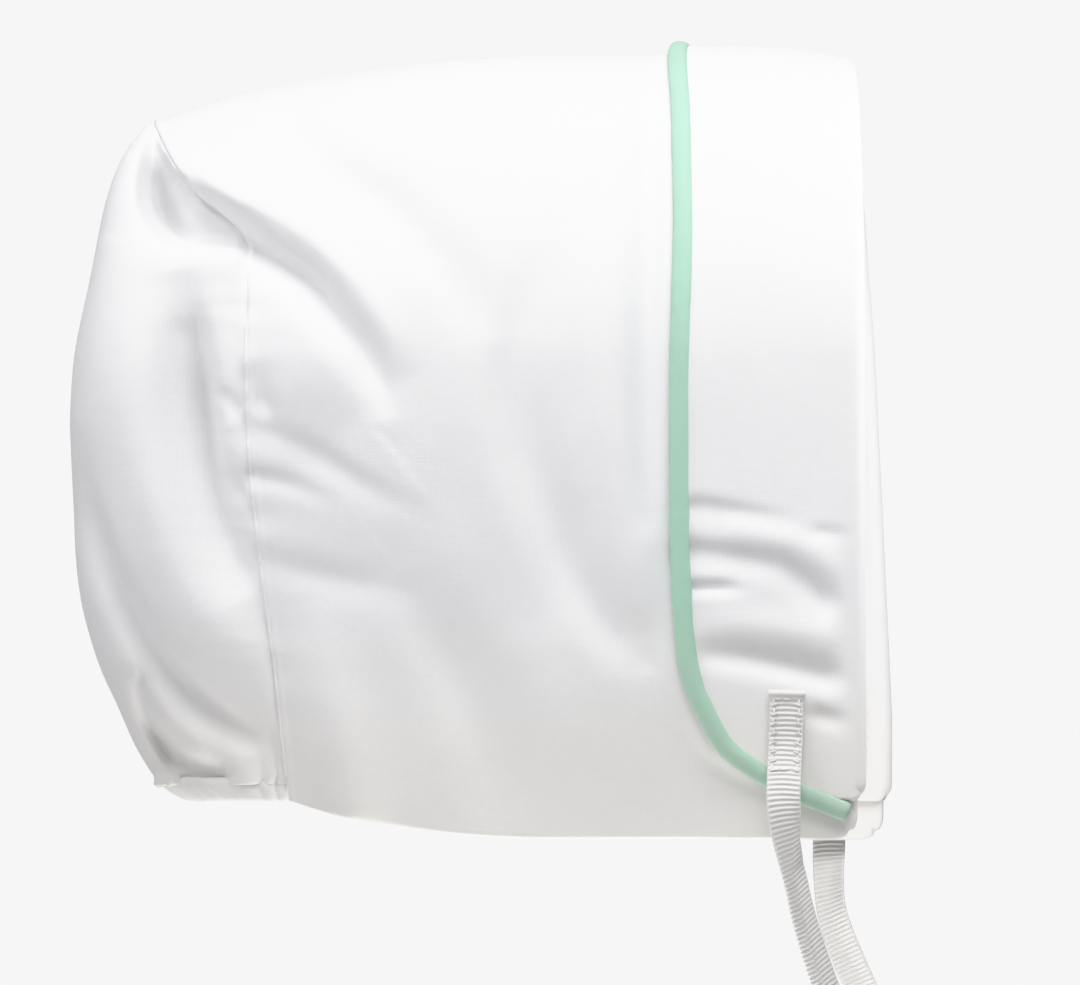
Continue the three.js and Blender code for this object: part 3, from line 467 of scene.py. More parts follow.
def link(name, vertices, faces, uvs=None):
    mesh = bpy.data.meshes.new(name)
    mesh.from_pydata((np.asarray(vertices) * MM).tolist(), [], faces)
    if uvs is not None:
        layer = mesh.uv_layers.new(name="cloth")
        corner = np.empty(len(mesh.loops), dtype=np.int32)
        mesh.loops.foreach_get("vertex_index", corner)
        layer.data.foreach_set("uv", (np.asarray(uvs) * MM)[corner].ravel())
    mesh.shade_smooth()
    mesh.validate()
    obj = bpy.data.objects.new(name, mesh)
    bpy.context.collection.objects.link(obj)
    return obj


def border(columns, rows):
    """Grid places round a sheet's edge, in order."""
    return ([(i, 0) for i in range(columns)] + [(columns, j) for j in range(rows)]
            + [(i, rows) for i in range(columns, 0, -1)] + [(0, j) for j in range(rows, 0, -1)])


def cloth_sheet(name, outer, thickness):
    """A closed sheet: an outer grid of points, the face behind it and a rounded edge."""
    columns, rows = outer.shape[0] - 1, outer.shape[1] - 1
    thickness = np.broadcast_to(thickness, outer.shape[:2])
    inner = outer - grid_normals(outer) * thickness[..., None]
    along_u = np.linalg.norm(np.diff(outer, axis=0), axis=2).mean(axis=1)
    along_v = np.linalg.norm(np.diff(outer, axis=1), axis=2).mean(axis=0)
    u = np.concatenate([[0], np.cumsum(along_u)])
    v = np.concatenate([[0], np.cumsum(along_v)])
    uv = np.stack(np.meshgrid(u, v, indexing="ij"), axis=-1)
    index = np.arange((columns + 1) * (rows + 1)).reshape(columns + 1, rows + 1)
    back = index + index.size
    a, b, c, d = index[:-1, :-1], index[1:, :-1], index[1:, 1:], index[:-1, 1:]
    faces = np.stack([a, b, c, d], axis=-1).reshape(-1, 4).tolist()
    faces += (np.stack([a, d, c, b], axis=-1).reshape(-1, 4) + index.size).tolist()
    ring = border(columns, rows)
    edge_points = []
    edge_uvs = []
    for i, j in ring:
        inward = np.zeros(3)
        if i in (0, columns):
            inward += outer[1 if i == 0 else columns - 1, j] - outer[i, j]
        if j in (0, rows):
            inward += outer[i, 1 if j == 0 else rows - 1] - outer[i, j]
        middle = (outer[i, j] + inner[i, j]) / 2
        edge_points.append(middle - unit(inward) * thickness[i, j] * 0.45)
        edge_uvs.append(uv[i, j])
    first = 2 * index.size
    for k, here in enumerate(ring):
        there = ring[(k + 1) % len(ring)]
        e0, e1 = first + k, first + (k + 1) % len(ring)
        o0, o1 = index[here], index[there]
        faces.append([int(o1), int(o0), e0, e1])
        faces.append([e1, e0, int(back[here]), int(back[there])])
    vertices = np.vstack([outer.reshape(-1, 3), inner.reshape(-1, 3), edge_points])
    uvs = np.vstack([uv.reshape(-1, 2), uv.reshape(-1, 2), edge_uvs])
    return link(name, vertices, faces, uvs)


def tube(name, rings, uvs=None):
    """A closed tube through an array of rings, with flat ends."""
    steps, sides = rings.shape[0] - 1, rings.shape[1]
    index = np.arange(rings.shape[0] * sides).reshape(-1, sides)
    turned = np.roll(index, -1, axis=1)
    faces = np.stack([index[:-1], turned[:-1], turned[1:], index[1:]], axis=-1)
    faces = faces.reshape(-1, 4).tolist()
    faces.append(index[0, ::-1].tolist())
    faces.append(index[steps].tolist())
    return link(name, rings.reshape(-1, 3), faces, uvs)


# Cords and ties

def run_along(points):
    """Distance run at each of a row of points."""
    return np.concatenate([[0], np.cumsum(np.linalg.norm(np.diff(points, axis=0), axis=1))])


def even_rows(rows, steps):
    """Rows that start with x, y and z, at even steps along their points, and the distance run."""
    run = run_along(rows[:, :3])
    even = np.linspace(0, run[-1], steps + 1)
    return np.stack([np.interp(even, run, column) for column in rows.T], axis=-1), even


def square_to_run(points, v):
    """Directions v made square to the way the points run, and the directions square to both."""
    tangent = unit(np.gradient(points, axis=0))
    v = unit(v - tangent * np.sum(v * tangent, axis=1, keepdims=True))
    return v, np.cross(v, tangent)


def turns(sides):
    return np.linspace(0, 2 * np.pi, sides, endpoint=False)


def round_rings(points, across, out, radius, sides, flat=1.0):
    """Rings of a cord with a radius for each point, flatter outwards where flat is below 1."""
    turn = turns(sides)[:, None]
    return points[:, None] + radius[:, None, None] * (
        across[:, None] * np.cos(turn) + out[:, None] * flat * np.sin(turn))


def tie_frame(route, side):
    """Places, directions across and out, and distance run along a tie."""
    rows, run = even_rows(smooth_path(route, 40), 520)
    points, turn = rows[:, :3], np.radians(rows[:, 3])
    across = np.stack([np.cos(turn), -side * np.sin(turn), np.zeros_like(turn)], axis=-1)
    across, out = square_to_run(points, across)
    return dict(points=points, across=across, out=side * out, run=run)


def tie(name, frame_, side, curl):
    """A grosgrain ribbon: raised ribs across it, a plain edge down each side, a turned-in end."""
    columns = 18
    w = np.linspace(-1, 1, columns + 1)
    run = frame_["run"][:, None]
    end = np.exp(-(((run - TURNED_END["at"]) / TURNED_END["reach"]) ** 2))
    wave = np.cos(2 * np.pi * (run + RIB_BOW * (1 - w**2)) / RIB_PITCH)
    ribs = RIB_HEIGHT * wave * (1 - ease(np.abs(w), *RIBS_END)) * (1 - end)
    half = RIBBON_THICKNESS / 2 + ribs
    half[:, [0, -1]] = EDGE_HALF
    width = TIE_WIDTH / 2 * (1 + TURNED_END["wider"] * end)
    height = frame_["points"][:, 2][:, None]
    angle = math.radians(curl["angle"]) * ease(-height, -curl["from_z"], -curl["full_z"])
    past = w - np.interp(height, curl["heights"], curl["starts"])
    over = (past + np.sqrt(past**2 + CURL_SOFTNESS**2)) / 2
    share = (1 + past / np.sqrt(past**2 + CURL_SOFTNESS**2)) / 2
    across, out = frame_["across"][:, None], frame_["out"][:, None]
    face = frame_["points"][:, None] + across * ((w - over + over * np.cos(angle)) * width)[..., None]
    face = face - out * (over * np.sin(angle) * width)[..., None]
    out = unit(out * np.cos(angle * share)[..., None] + across * np.sin(angle * share)[..., None])
    front = face + out * (half + TURNED_END["thicker"] * end)[..., None]
    back = face - out * half[..., None]
    rings = np.concatenate([front, back[:, ::-1]], axis=1)
    return tube(name, rings if side > 0 else rings[:, ::-1])


# Pieces of cloth

def ripple(points, wavelength, seed):
    """Smooth, repeatable unevenness, mostly between -1 and 1."""
    rng = np.random.default_rng(seed)
    total = np.zeros(points.shape[:-1])
    for _ in range(8):
        direction = unit(rng.normal(size=3))
        pitch = wavelength * rng.uniform(0.7, 1.5)
        total += np.sin(points @ direction * 2 * np.pi / pitch + rng.uniform(0, 2 * np.pi))
    return total / 3


def gathers(distance, pitch):
    """Round puffs with narrow valleys between them, for cloth drawn up on a thread."""
    drift = 0.35 * pitch * np.sin(distance * 0.29) + 0.2 * pitch * np.sin(distance * 0.13 + 1)
    return np.abs(np.sin(np.pi * (distance + drift) / pitch)) - 0.64


def cuff_height(side, deep, point):
    """The cuff's folds, which the cloth under it follows. They fade towards its front edge."""
    height = fold_height(CUFF_FOLDS, side, point[..., 0], point[..., 2])
    return height * ease(1 - deep, 0, CUFF_FRONT_FADE) * ease(np.abs(point[..., 1]), 0, TOP_FADE)


def crown_height(round_, deep, point):
    """How far the crown's folds, and the roll of its seam, move it off the plain shape."""
    side = np.where(round_ < 0, -1, 1)
    x, z = point[..., 0], point[..., 2]
    seam = crown_point(round_, 0.0)
    distance = np.linalg.norm(point - seam, axis=-1)
    to_cuff = line_x(PIPING_LINE, z) - PIPING_RADIUS - x
    front_x = crown_point(round_, 1.0)[..., 0]
    fade = ease(to_cuff, 0, CUFF_FADE) * ease(np.abs(point[..., 1]), 0, TOP_FADE)
    height = fold_height(CROWN_FOLDS, side, x, z) * fade
    height += UNEVEN * ripple(point, UNEVEN_LENGTH, 3) * ease(to_cuff, 0, CUFF_FADE)
    height += SEAM_PUCKER * ripple(seam, SEAM_PUCKER_LENGTH, 5) * np.exp(-distance / SEAM_PUCKER_REACH)
    height += SEAM_ROLL * np.exp(-((distance - SEAM_ROLL_AT) / SEAM_ROLL_WIDTH) ** 2)
    height -= UNDER_CUFF["depth"] * ease(-to_cuff, *UNDER_CUFF["from_edge"]) \
        * ease(front_x - x, *UNDER_CUFF["from_front"])
    height += np.minimum(0, cuff_height(side, deep, point)) * ease(-to_cuff, *UNDER_CUFF["follows"])
    return height


def round_corners(point, front, bottom, radius):
    """Front corners at a hem, rounded in the side view."""
    front, bottom = front - radius, bottom + radius
    right, down = np.maximum(0, point[..., 0] - front), np.maximum(0, bottom - point[..., 2])
    shrink = np.maximum(right, down) / np.maximum(np.hypot(right, down), 1e-6)
    inside = (right > 0) & (down > 0)
    out = point.copy()
    out[..., 0] = np.where(inside, front + right * shrink, out[..., 0])
    out[..., 2] = np.where(inside, bottom - down * shrink, out[..., 2])
    return out


def seen_across(normal):
    """The way folds move the cloth: mostly sideways, so that they keep their place in the side view."""
    return unit(normal * (ACROSS_VIEW, 1, ACROSS_VIEW))


def crown_outer(round_, deep):
    point = crown_point(round_, deep)
    height = crown_height(round_, deep, point)
    folded = point + seen_across(crown_normal(round_, deep)) * height[..., None]
    return round_corners(folded, FRONT_SIDE_X, FRONT["hem_z"], CORNER_RADIUS)


def crown_thickness(round_, deep):
    """The cloth thins where it turns under at the back seam."""
    run = np.linalg.norm(crown_point(round_, deep) - crown_point(round_, 0.0), axis=-1)
    return lerp(SEAM_EDGE, CLOTH, ease(run, 0, SEAM_EDGE_REACH))


def crown_band():
    columns, rows = 120, 400
    u = np.linspace(0, 1, columns + 1)
    s = np.linspace(-1, 1, rows + 1)
    deep = lerp(u, u**1.6, 0.6)
    round_ = s - NEAR_SIDE_FINER * (1 - s**2)
    deep, round_ = np.meshgrid(deep, round_, indexing="ij")
    return cloth_sheet("crown", crown_outer(round_, deep), crown_thickness(round_, deep))


def back_point(across, down):
    seam_y, seam_z = section_point(crown_section(np.zeros_like(down)), down)
    seam_x = line_x(SEAM_LINE, seam_z)
    back_x = np.minimum(line_x(BACK_LINE, seam_z), seam_x - 1)
    angle = np.sign(across) * np.pi / 2 * np.sin(across * np.pi / 2) ** 2
    full = lerp(BACK_PANEL["fullness"], CASING["fullness"], ease(-seam_z, *BACK_PANEL["narrows"]))
    x = seam_x + (back_x - seam_x) * np.abs(np.cos(angle)) ** full
    y = seam_y * np.sign(angle) * np.abs(np.sin(angle)) ** full
    return np.stack([x, y, seam_z], axis=-1)


def under_crown(round_, run):
    """Points just inside the crown, some way in from its back edge."""
    length = np.linalg.norm(crown_point(round_, 1.0) - crown_point(round_, 0.0), axis=-1)
    deep = run / length
    normal = crown_normal(round_, deep)
    depth = crown_thickness(round_, deep) + BACK_PANEL["clear"]
    return crown_outer(round_, deep) - normal * depth[..., None]


def back_height(point, side, across, edge):
    """How far the back panel's folds and gathers move it off the plain shape."""
    distance = np.linalg.norm(point - edge, axis=-1)
    height = fold_height(BACK_FOLDS, side, point[..., 0], point[..., 2]) \
        * ease(np.abs(point[..., 1]), 0, BACK_MIDDLE_FADE)
    height += BACK_UNEVEN * ripple(point, UNEVEN_LENGTH, 7)
    run = np.cumsum(np.linalg.norm(np.diff(edge, axis=1), axis=2), axis=1)
    run = np.pad(run, ((0, 0), (1, 0)))
    height += SEAM_GATHER * gathers(run, SEAM_GATHER_PITCH) \
        * np.exp(-distance / SEAM_GATHER_REACH) * ease(distance, 0, SEAM_GATHER_FROM)
    above_casing = point[..., 2] - BACK_PANEL["bottom_z"]
    height += HEM_GATHER * gathers(across * HEM_HALF_RUN, HEM_GATHER_PITCH) \
        * np.exp(-above_casing / HEM_GATHER_REACH)
    return height


def back_folded(across, down):
    """The folded back panel up to its seam, where it meets the inside of the crown's edge."""
    side = np.where(across < 0, -1, 1)
    point = back_point(across, down)
    normal = face_normal(back_point, np.clip(across, -0.985, 0.985),
                         np.clip(down, down.min() + 0.005, down.max() - 0.005))
    edge = back_point(side * 1.0, down)
    distance = np.linalg.norm(point - edge, axis=-1)
    pocket = fold_height(BACK_POCKETS, side, point[..., 0], point[..., 2]) \
        * ease(np.abs(point[..., 1]), 0, BACK_MIDDLE_FADE)
    folds = seen_across(normal) * back_height(point, side, across, edge)[..., None]
    folds += STRAIGHT_IN * pocket[..., None]
    seam_move = under_crown(side * down, np.zeros_like(down)) - edge
    hold = np.exp(-((distance / SEAM_HOLD) ** 2))
    return point + lerp(folds, seam_move, hold[..., None]), distance


def back_panel():
    """The gathered back, tucked under the crown at its sides and into the casing below."""
    columns, rows = 170, 200
    rounds = np.linspace(BACK_PANEL["top"], leg_at(SEAM, BACK_PANEL["bottom_z"]), rows + 1)
    across, down = np.meshgrid(np.linspace(-1, 1, columns + 1), rounds, indexing="ij")
    point, distance = back_folded(across, down)
    tucked = BACK_PANEL["under_crown"] * TUCK_STEPS
    right = np.array([under_crown(-rounds, np.full_like(rounds, run)) for run in tucked[::-1]])
    left = np.array([under_crown(rounds, np.full_like(rounds, run)) for run in tucked])
    whole = np.concatenate([right, point, left])
    turned_in = unit(whole.mean(axis=(0, 1)) - whole[:, -1]) * (1, 1, 0) + (0, 0, -0.8)
    steps = BACK_PANEL["into_casing"] * TUCK_STEPS
    whole = np.concatenate([whole, whole[:, -1:] + turned_in[:, None] * steps[:, None]], axis=1)
    tucked_run = tucked[:, None] * np.ones(rows + 1)
    edge_run = np.concatenate([tucked_run[::-1], -distance, tucked_run])
    edge_run = np.pad(edge_run, ((0, 0), (0, len(steps))), mode="edge")
    thickness = lerp(CLOTH, SEAM_EDGE, ease(edge_run, -SEAM_EDGE_REACH, 0))
    return cloth_sheet("back_panel_cloth", whole, thickness)


def seam_welt():
    """The narrow raised ridge of the back seam, down both sides, fading out under the crown's roll."""
    end = leg_at(SEAM, CASING["top_z"])
    for side, name in ((-1, "seam_ridge_right"), (1, "seam_ridge_left")):
        round_ = side * np.linspace(0.3, end, 420)
        deep = np.zeros_like(round_)
        points = crown_outer(round_, deep)
        out, across = square_to_run(points, crown_normal(round_, deep))
        shown = ease(-points[:, 2], -SEAM_WELT["from_z"], -SEAM_WELT["full_z"])
        radius = SEAM_WELT["radius"] * lerp(SEAM_WELT["start"], 1, shown) \
            * (1 + SEAM_WELT["uneven"] * ripple(points, 3, 29))
        sunk = radius * lerp(*SEAM_WELT["sunk"], shown)
        rings = round_rings(points - out * sunk[:, None], across, out, radius, 8)
        dress(tube(name, rings), cotton, "cotton")


def nape_casing():
    """The drawn-up channel under the back panel, puckered between its stitches."""
    steps, sides = 360, 28
    half = CASING["thickness"] / 2
    angle = np.linspace(-np.pi / 2, np.pi / 2, steps + 1)

    def centre(down, angle):
        z = lerp(CASING["top_z"] - half, CASING["bottom_z"] + half, down)
        full = CASING["fullness"]
        x = lerp(CASING["end_x"], line_x(BACK_LINE, z) + half, np.abs(np.cos(angle)) ** full)
        half_width = CASING["half_width"] - CASING["narrowing"] * down
        y = half_width * np.sign(angle) * np.abs(np.sin(angle)) ** full
        return np.stack([x, y, np.full_like(angle, z)], axis=-1)

    top, bottom = centre(0, angle), centre(1, angle)
    down = unit(bottom - top)
    ahead = unit(centre(0.5, angle + 0.01) - centre(0.5, angle - 0.01))
    out = unit(np.cross(down, ahead))
    pucker = 1 + CASING["pucker"] * gathers(run_along(top), CASING["pucker_pitch"]) \
        + CASING["uneven"] * ripple(top, 9, 11)
    turn = turns(sides)
    tall = np.abs(np.sin(turn)) ** 0.7 * np.sign(np.sin(turn))
    wide = np.cos(turn)
    middle = (top + bottom) / 2
    half_height = np.linalg.norm(bottom - top, axis=1)[:, None] / 2 + half
    rings = middle[:, None] + down[:, None] * (half_height * tall)[..., None] \
        + out[:, None] * (half * pucker[:, None] * wide)[..., None]
    return tube("casing", rings)


def deep_at(round_, x):
    seam_x = crown_point(round_, 0.0)[..., 0]
    front_x = crown_point(round_, 1.0)[..., 0]
    return (x - seam_x) / (front_x - seam_x)


def on_crown(round_, x_at_height):
    """Place in depth where each round line of the crown meets a line given by its height."""
    deep = np.full_like(round_, 0.7)
    for _ in range(6):
        deep = deep_at(round_, x_at_height(crown_point(round_, deep)[..., 2]))
    return deep


def cuff_edge_x(z):
    step = 0.2
    slope = (line_x(PIPING_LINE, z + step) - line_x(PIPING_LINE, z - step)) / (2 * step)
    return line_x(PIPING_LINE, z) + CUFF["under_piping"] * np.hypot(1, slope)


def cuff_outer(outer_leg, fold, inner_leg, rows):
    """Outer face of the cuff: over the crown, round its front edge and back inside it."""
    clear = CLOTH / 2 + GAP + CLOTH
    even = np.linspace(-1, 1, rows + 1)
    round_ = leg_at(FRONT, CUFF["bottom_z"]) * (even + CUFF["end_spread"] * (even - even**3))
    side = np.where(round_ < 0, -1, 1)
    edge = crown_point(round_, 1.0)
    shortest = deep_at(round_, edge[:, 0] - CUFF["shortest_leg"])
    back_edge = np.minimum(on_crown(round_, cuff_edge_x), shortest)
    points = []
    for k in np.linspace(0, 1, outer_leg, endpoint=False):
        deep = lerp(back_edge, 1, k)
        point = crown_point(round_, deep)
        height = cuff_height(side, deep, point)
        height += CUFF_UNEVEN * ripple(point, UNEVEN_LENGTH, 13) * ease(1 - deep, 0, CUFF_FRONT_FADE)
        points.append(point + crown_normal(round_, deep) * (GAP + CLOTH + height)[:, None])
    normal = crown_normal(round_, 1.0)
    forward = unit(edge - crown_point(round_, 0.97))
    middle = edge - normal * CLOTH / 2
    for turn in np.linspace(0, np.pi, fold, endpoint=False):
        points.append(middle + clear * (normal * math.cos(turn) + forward * math.sin(turn)))
    for back in np.linspace(0, 1, inner_leg):
        deep = deep_at(round_, edge[:, 0] - CUFF["inner_leg"] * back)
        point = crown_point(round_, deep)
        depth = 2 * CLOTH + GAP - np.minimum(0, cuff_height(side, deep, point))
        points.append(point - crown_normal(round_, deep) * depth[:, None])
    return round_corners(np.array(points), FRONT_SIDE_X + clear, CUFF["bottom_z"], CUFF["corner"])


def turned_cuff():
    return cloth_sheet("cuff", cuff_outer(outer_leg=34, fold=14, inner_leg=12, rows=380), CLOTH)


def piping_cord():
    """The covered cord along the cuff's free edge, cut square at both ends."""
    steps, sides = 480, 16
    end = leg_at(FRONT, PIPING_LINE[-1][0])
    round_ = np.linspace(-end, end, 1201)
    deep = on_crown(round_, lambda z: line_x(PIPING_LINE, z))
    normal = crown_normal(round_, deep)
    middle = crown_point(round_, deep) + normal * PIPING_LIFT
    rows, even = even_rows(np.hstack([middle, normal]), steps)
    points = rows[:, :3]
    out, across = square_to_run(points, rows[:, 3:])
    radius = PIPING_RADIUS * (1 + 0.012 * ripple(points, 7, 17) + 0.006 * ripple(points, 2.4, 19))
    radius[[0, -1]] *= 0.88
    rings = round_rings(points, across, out, radius, sides, PIPING_HALF_HEIGHT / PIPING_RADIUS)
    uv = np.stack(np.broadcast_arrays(even[:, None], turns(sides) * PIPING_RADIUS), axis=-1)
    return tube("piping_cord", rings, uv.reshape(-1, 2))


def stitches(name, starts, ends, out, thickness):
    """Short straight stitches, each a small rounded thread that dips in at both ends."""
    sides, rings = 6, 5
    vertices, faces = [], []
    for start, end, normal in zip(starts, ends, out):
        along = unit(end - start)
        across = unit(np.cross(along, normal))
        up = np.cross(across, along)
        first = len(vertices)
        for k in np.linspace(0, 1, rings):
            swell = math.sin(math.pi * lerp(0.12, 0.88, k))
            centre = lerp(start, end, k) + up * thickness * (0.55 * swell - 0.25)
            for turn in np.arange(sides) * 2 * math.pi / sides:
                vertices.append(centre + thickness / 2 * swell**0.5 * (
                    across * math.cos(turn) + up * math.sin(turn)))
        for k in range(rings - 1):
            for n in range(sides):
                a, b = first + k * sides + n, first + k * sides + (n + 1) % sides
                faces.append([a, b, b + sides, a + sides])
        faces.append([first + n for n in reversed(range(sides))])
        faces.append([first + (rings - 1) * sides + n for n in range(sides)])
    return link(name, vertices, faces)


def tie_stitches(name, frame_):
    """Back-stitching down both edges of a tie's sewn end, and across its top and bottom."""
    rng = np.random.default_rng(23)
    run, points, across, out = (frame_[key] for key in ("run", "points", "across", "out"))
    starts, ends, normals = [], [], []

    def place(along, over):
        k = int(np.clip(np.searchsorted(run, along), 0, len(run) - 1))
        return points[k] + across[k] * over + out[k] * STITCH_LIFT

    def stitch(along, over, to_along, to_over):
        starts.append(place(along, over))
        ends.append(place(to_along, to_over))
        normals.append(out[0])

    for edge in (-1, 1):
        for along in np.arange(SEWN_FROM, SEWN_TO, STITCH_LENGTH * 1.2):
            first, second = edge * (STITCH_EDGE + rng.uniform(-0.12, 0.12, 2))
            stitch(along, first, along + STITCH_LENGTH, second)
            stitch(along + STITCH_LENGTH * 0.6, second - edge * 0.7,
                   along + STITCH_LENGTH * 0.9, second + edge * 0.4)
    for along in (SEWN_FROM, SEWN_TO):
        for over in np.arange(-STITCH_EDGE, STITCH_EDGE - STITCH_LENGTH, STITCH_LENGTH * 1.1):
            stitch(along, over, along + rng.uniform(-0.2, 0.2), over + STITCH_LENGTH)
    return stitches(name, starts, ends, normals, THREAD)


def cuff_stitching():
    """The running stitch that holds the cuff's turning, inside the front edge."""
    end = leg_at(FRONT, CUFF["bottom_z"]) * CUFF_STITCHING["round_to"]
    round_ = np.linspace(-end, end, 281)
    deep = deep_at(round_, crown_point(round_, 1.0)[:, 0] - CUFF_STITCHING["inwards"])
    normal = crown_normal(round_, deep)
    points = crown_point(round_, deep) - normal * (2 * CLOTH + GAP + CUFF_STITCHING["lift"])
    return stitches("cuff_stitching", points[0:-1:2], points[1::2], -normal[0:-1:2],
                    CUFF_STITCHING["thread"])


# Materials

def new_material(name, colour, roughness, sheen):
    material = bpy.data.materials.new(name)
    material.use_nodes = True
    shader = material.node_tree.nodes["Principled BSDF"]
    shader.inputs["Base Color"].default_value = (*colour, 1)
    shader.inputs["Roughness"].default_value = roughness
    shader.inputs["Sheen Weight"].default_value = sheen
    shader.inputs["Sheen Roughness"].default_value = 0.5
    shader.inputs["Specular IOR Level"].default_value = 0.25
    return material, material.node_tree, shader


def add_node(tree, kind, settings=None, **inputs):
    node = tree.nodes.new("ShaderNode" + kind)
    for key, value in (settings or {}).items():
        setattr(node, key, value)
    for key, value in inputs.items():
        socket = node.inputs[key.replace("_", " ")]
        if isinstance(value, bpy.types.NodeSocket):
            tree.links.new(value, socket)
        else:
            socket.default_value = value
    return node


def mottle(tree, shader, place, colour, other, scale, painted_low_shade=None):
    """Slow colour variation between two near shades, and painted shade: a darker, warmer colour low
    down on the hat.
    """
    noise = add_node(tree, "TexNoise", Vector=place, Scale=scale, Detail=3.0)
    mix = add_node(tree, "Mix", {"data_type": "RGBA"}, Factor=noise.outputs["Fac"])
    mix.inputs["A"].default_value = (*colour, 1)
    mix.inputs["B"].default_value = (*other, 1)
    result = mix.outputs["Result"]
    # Painted shade: towards the bottom of the hat the colour turns to the darker, warmer low colour, in
    # place of light that falls off there
    if painted_low_shade is not None:
        height = add_node(tree, "SeparateXYZ", Vector=place).outputs["Z"]
        share = add_node(tree, "MapRange", {"interpolation_type": "SMOOTHSTEP"}, Value=height)
        share.inputs["From Min"].default_value = PAINTED_SHADE_FROM_Z * MM
        share.inputs["From Max"].default_value = PAINTED_SHADE_FULL_Z * MM
        painted_shade_mix = add_node(tree, "Mix", {"data_type": "RGBA"}, Factor=share.outputs["Result"])
        tree.links.new(result, painted_shade_mix.inputs["A"])
        painted_shade_mix.inputs["B"].default_value = (*painted_low_shade, 1)
        result = painted_shade_mix.outputs["Result"]
    tree.links.new(result, shader.inputs["Base Color"])


def bump(tree, height, strength, distance, under=None):
    node = add_node(tree, "Bump", Height=height, Strength=strength, Distance=distance)
    if under is not None:
        tree.links.new(under.outputs["Normal"], node.inputs["Normal"])
    return node


def plain_weave(tree, pitch, strength, under=None):
    """Threads over and under each other, from the cloth's own lengthwise and crosswise lengths."""
    cloth = add_node(tree, "TexCoord").outputs["UV"]
    scale = 2 * math.pi / 20 / pitch
    over = add_node(tree, "Math", {"operation": "MAXIMUM"})
    for k, direction in enumerate("XY"):
        threads = add_node(tree, "TexWave", {"bands_direction": direction},
                           Vector=cloth, Scale=scale, Distortion=0.6, Detail=1.0)
        tree.links.new(threads.outputs["Fac"], over.inputs[k])
    return bump(tree, over.outputs[0], strength, pitch * 0.3, under)


def woven(name, colour, other, painted_low_shade, pitch, strength, crumple):
    material, tree, shader = new_material(name, colour, roughness=0.85, sheen=0.2)
    place = add_node(tree, "TexCoord").outputs["Object"]
    # Mottle, with painted shade low on the hat
    mottle(tree, shader, place, colour, other, scale=28, painted_low_shade=painted_low_shade)
    soft = add_node(tree, "TexNoise", Vector=place, Scale=130.0, Detail=3.0)
    slub = add_node(tree, "TexNoise", Vector=place, Scale=1100.0, Detail=2.0)
    first = bump(tree, soft.outputs["Fac"], crumple, distance=0.0006)
    second = bump(tree, slub.outputs["Fac"], strength=0.12, distance=0.0001, under=first)
    weave = plain_weave(tree, pitch, strength, second)
    tree.links.new(weave.outputs["Normal"], shader.inputs["Normal"])
    return material


def spun(name, colour, roughness, sheen, patches, strands, detail, strength, depth):
    """Ribbon or thread: patches of a second shade, and fine strands in relief."""
    material, tree, shader = new_material(name, colour, roughness, sheen)
    place = add_node(tree, "TexCoord").outputs["Object"]
    mottle(tree, shader, place, colour, RIBBON_SHADE, patches)
    fibres = add_node(tree, "TexNoise", Vector=place, Scale=strands, Detail=detail)
    fine = bump(tree, fibres.outputs["Fac"], strength, depth)
    tree.links.new(fine.outputs["Normal"], shader.inputs["Normal"])
    return material


# Floor and light

def make_floor():
    half = FLOOR_SIZE / 2
    corners = [(-half, -half), (half, -half), (half, half), (-half, half)]
    floor = link("floor", [(x, y, FLOOR_Z) for x, y in corners], [[0, 1, 2, 3]])
    material = new_material("floor", FLOOR_COLOUR, roughness=0.9, sheen=0.0)[0]
    floor.data.materials.append(material)


def make_world():
    """A near-white surround for the eye, and a softer light from it that is stronger above."""
    world = bpy.data.worlds.new("surround")
    world.use_nodes = True
    bpy.context.scene.world = world
    tree = world.node_tree
    tree.nodes.clear()
    place = add_node(tree, "TexCoord").outputs["Generated"]
    height = add_node(tree, "SeparateXYZ", Vector=place).outputs["Z"]
    share = add_node(tree, "MapRange", Value=height)
    share.inputs["From Min"].default_value = -1
    ramp = add_node(tree, "Mix", {"data_type": "RGBA"}, Factor=share.outputs["Result"])
    ramp.inputs["A"].default_value = (*LIGHT_BELOW, 1)
    ramp.inputs["B"].default_value = (*LIGHT_ABOVE, 1)
    light = add_node(tree, "Background", Color=ramp.outputs["Result"])
    seen = add_node(tree, "Background", Color=(*SURROUND, 1))
    eye = add_node(tree, "LightPath").outputs["Is Camera Ray"]
    mix = add_node(tree, "MixShader", Fac=eye)
    tree.links.new(light.outputs[0], mix.inputs[1])
    tree.links.new(seen.outputs[0], mix.inputs[2])
    output = add_node(tree, "OutputWorld")
    tree.links.new(mix.outputs[0], output.inputs["Surface"])


def make_light(name, azimuth, elevation, distance, size, watts, colour):
    data = bpy.data.lights.new(name, "AREA")
    data.shape = "DISK"
    data.size = size
    data.energy = watts
    data.color = colour
    light = bpy.data.objects.new(name, data)
    light.visible_camera = False
    look_from(light, math.radians(azimuth), math.radians(elevation), distance)


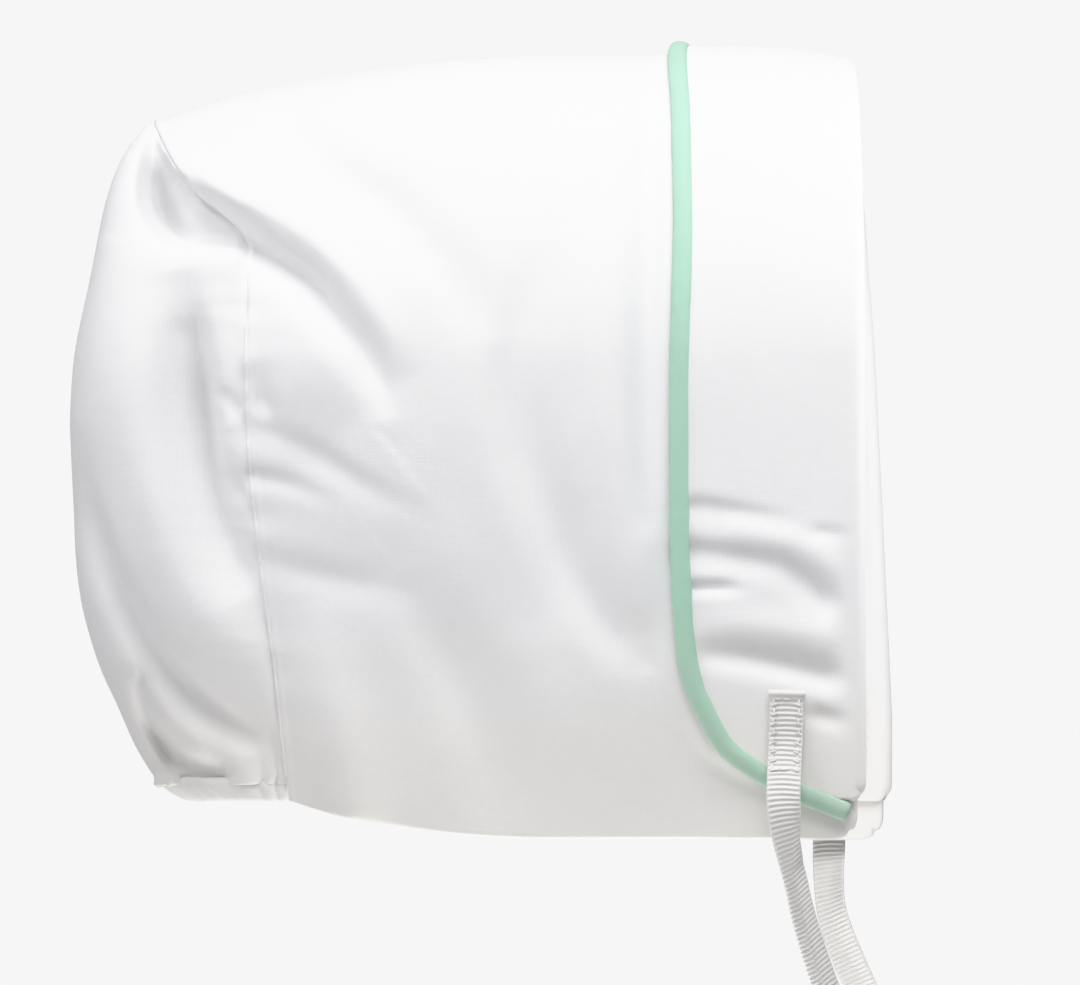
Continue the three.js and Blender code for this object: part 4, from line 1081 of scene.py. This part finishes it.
def soften_highlights():
    """Bright cloth keeps its shading: the tone curve bends over near white, as a camera's does."""
    view = bpy.context.scene.view_settings
    view.view_transform = "Standard"
    view.use_curve_mapping = True
    mapping = view.curve_mapping
    mapping.white_level = (BRIGHTEST, BRIGHTEST, BRIGHTEST)
    curve = mapping.curves[3]
    for light, shown in TONES:
        curve.points.new(light / BRIGHTEST, shown)
    mapping.update()


# The scene

def dress(obj, material, slot, *nodes):
    obj.data.materials.append(material)
    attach(obj, BODY)
    if nodes:
        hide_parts(*nodes)
    return obj


def sewn_tie(node, route, side, curl):
    frame_ = tie_frame(route, side)
    ribbon = dress(tie("ribbon_" + node, frame_, side, curl), grosgrain, "grosgrain", node)
    sewing = dress(tie_stitches("stitching_" + node, frame_), thread, "grosgrain")


make_camera()
grosgrain = spun("grosgrain", RIBBON_WHITE, roughness=0.5, sheen=0.35, patches=160,
                 strands=2600.0, detail=2.0, strength=0.25, depth=0.00008)
thread = spun("thread", THREAD_WHITE, roughness=0.55, sheen=0.3, patches=400,
              strands=5200.0, detail=1.0, strength=0.3, depth=0.00005)
sewn_tie("tie_right", RIGHT_TIE, -1, RIGHT_CURL)
sewn_tie("tie_left", LEFT_TIE, 1, LEFT_CURL)

cotton = woven("cotton", COTTON, COTTON_SHADE, COTTON_PAINTED_LOW_SHADE,
               pitch=0.00034, strength=0.3, crumple=0.25)
cuff_cotton = woven("cuff_cotton", COTTON, COTTON_SHADE, COTTON_PAINTED_LOW_SHADE,
                    pitch=0.00034, strength=0.3, crumple=0.2)
mint = woven("mint_cotton", MINT, MINT_SHADE, MINT_PAINTED_LOW_SHADE, pitch=0.0003, strength=0.4, crumple=0.35)

crown = dress(crown_band(), cotton, "cotton", "crown_band")
back = dress(back_panel(), cotton, "cotton", "back_panel")
seam_welt()
casing = dress(nape_casing(), cotton, "cotton", "nape_casing")
cuff = dress(turned_cuff(), cuff_cotton, "cuff_cotton", "turnback_cuff")
cord = dress(piping_cord(), mint, "mint_piping", "piping")
inner_stitching = dress(cuff_stitching(), thread, "cuff_cotton")

make_floor()
make_world()
for light_name, values in LIGHTS.items():
    make_light(light_name, **values)
soften_highlights()
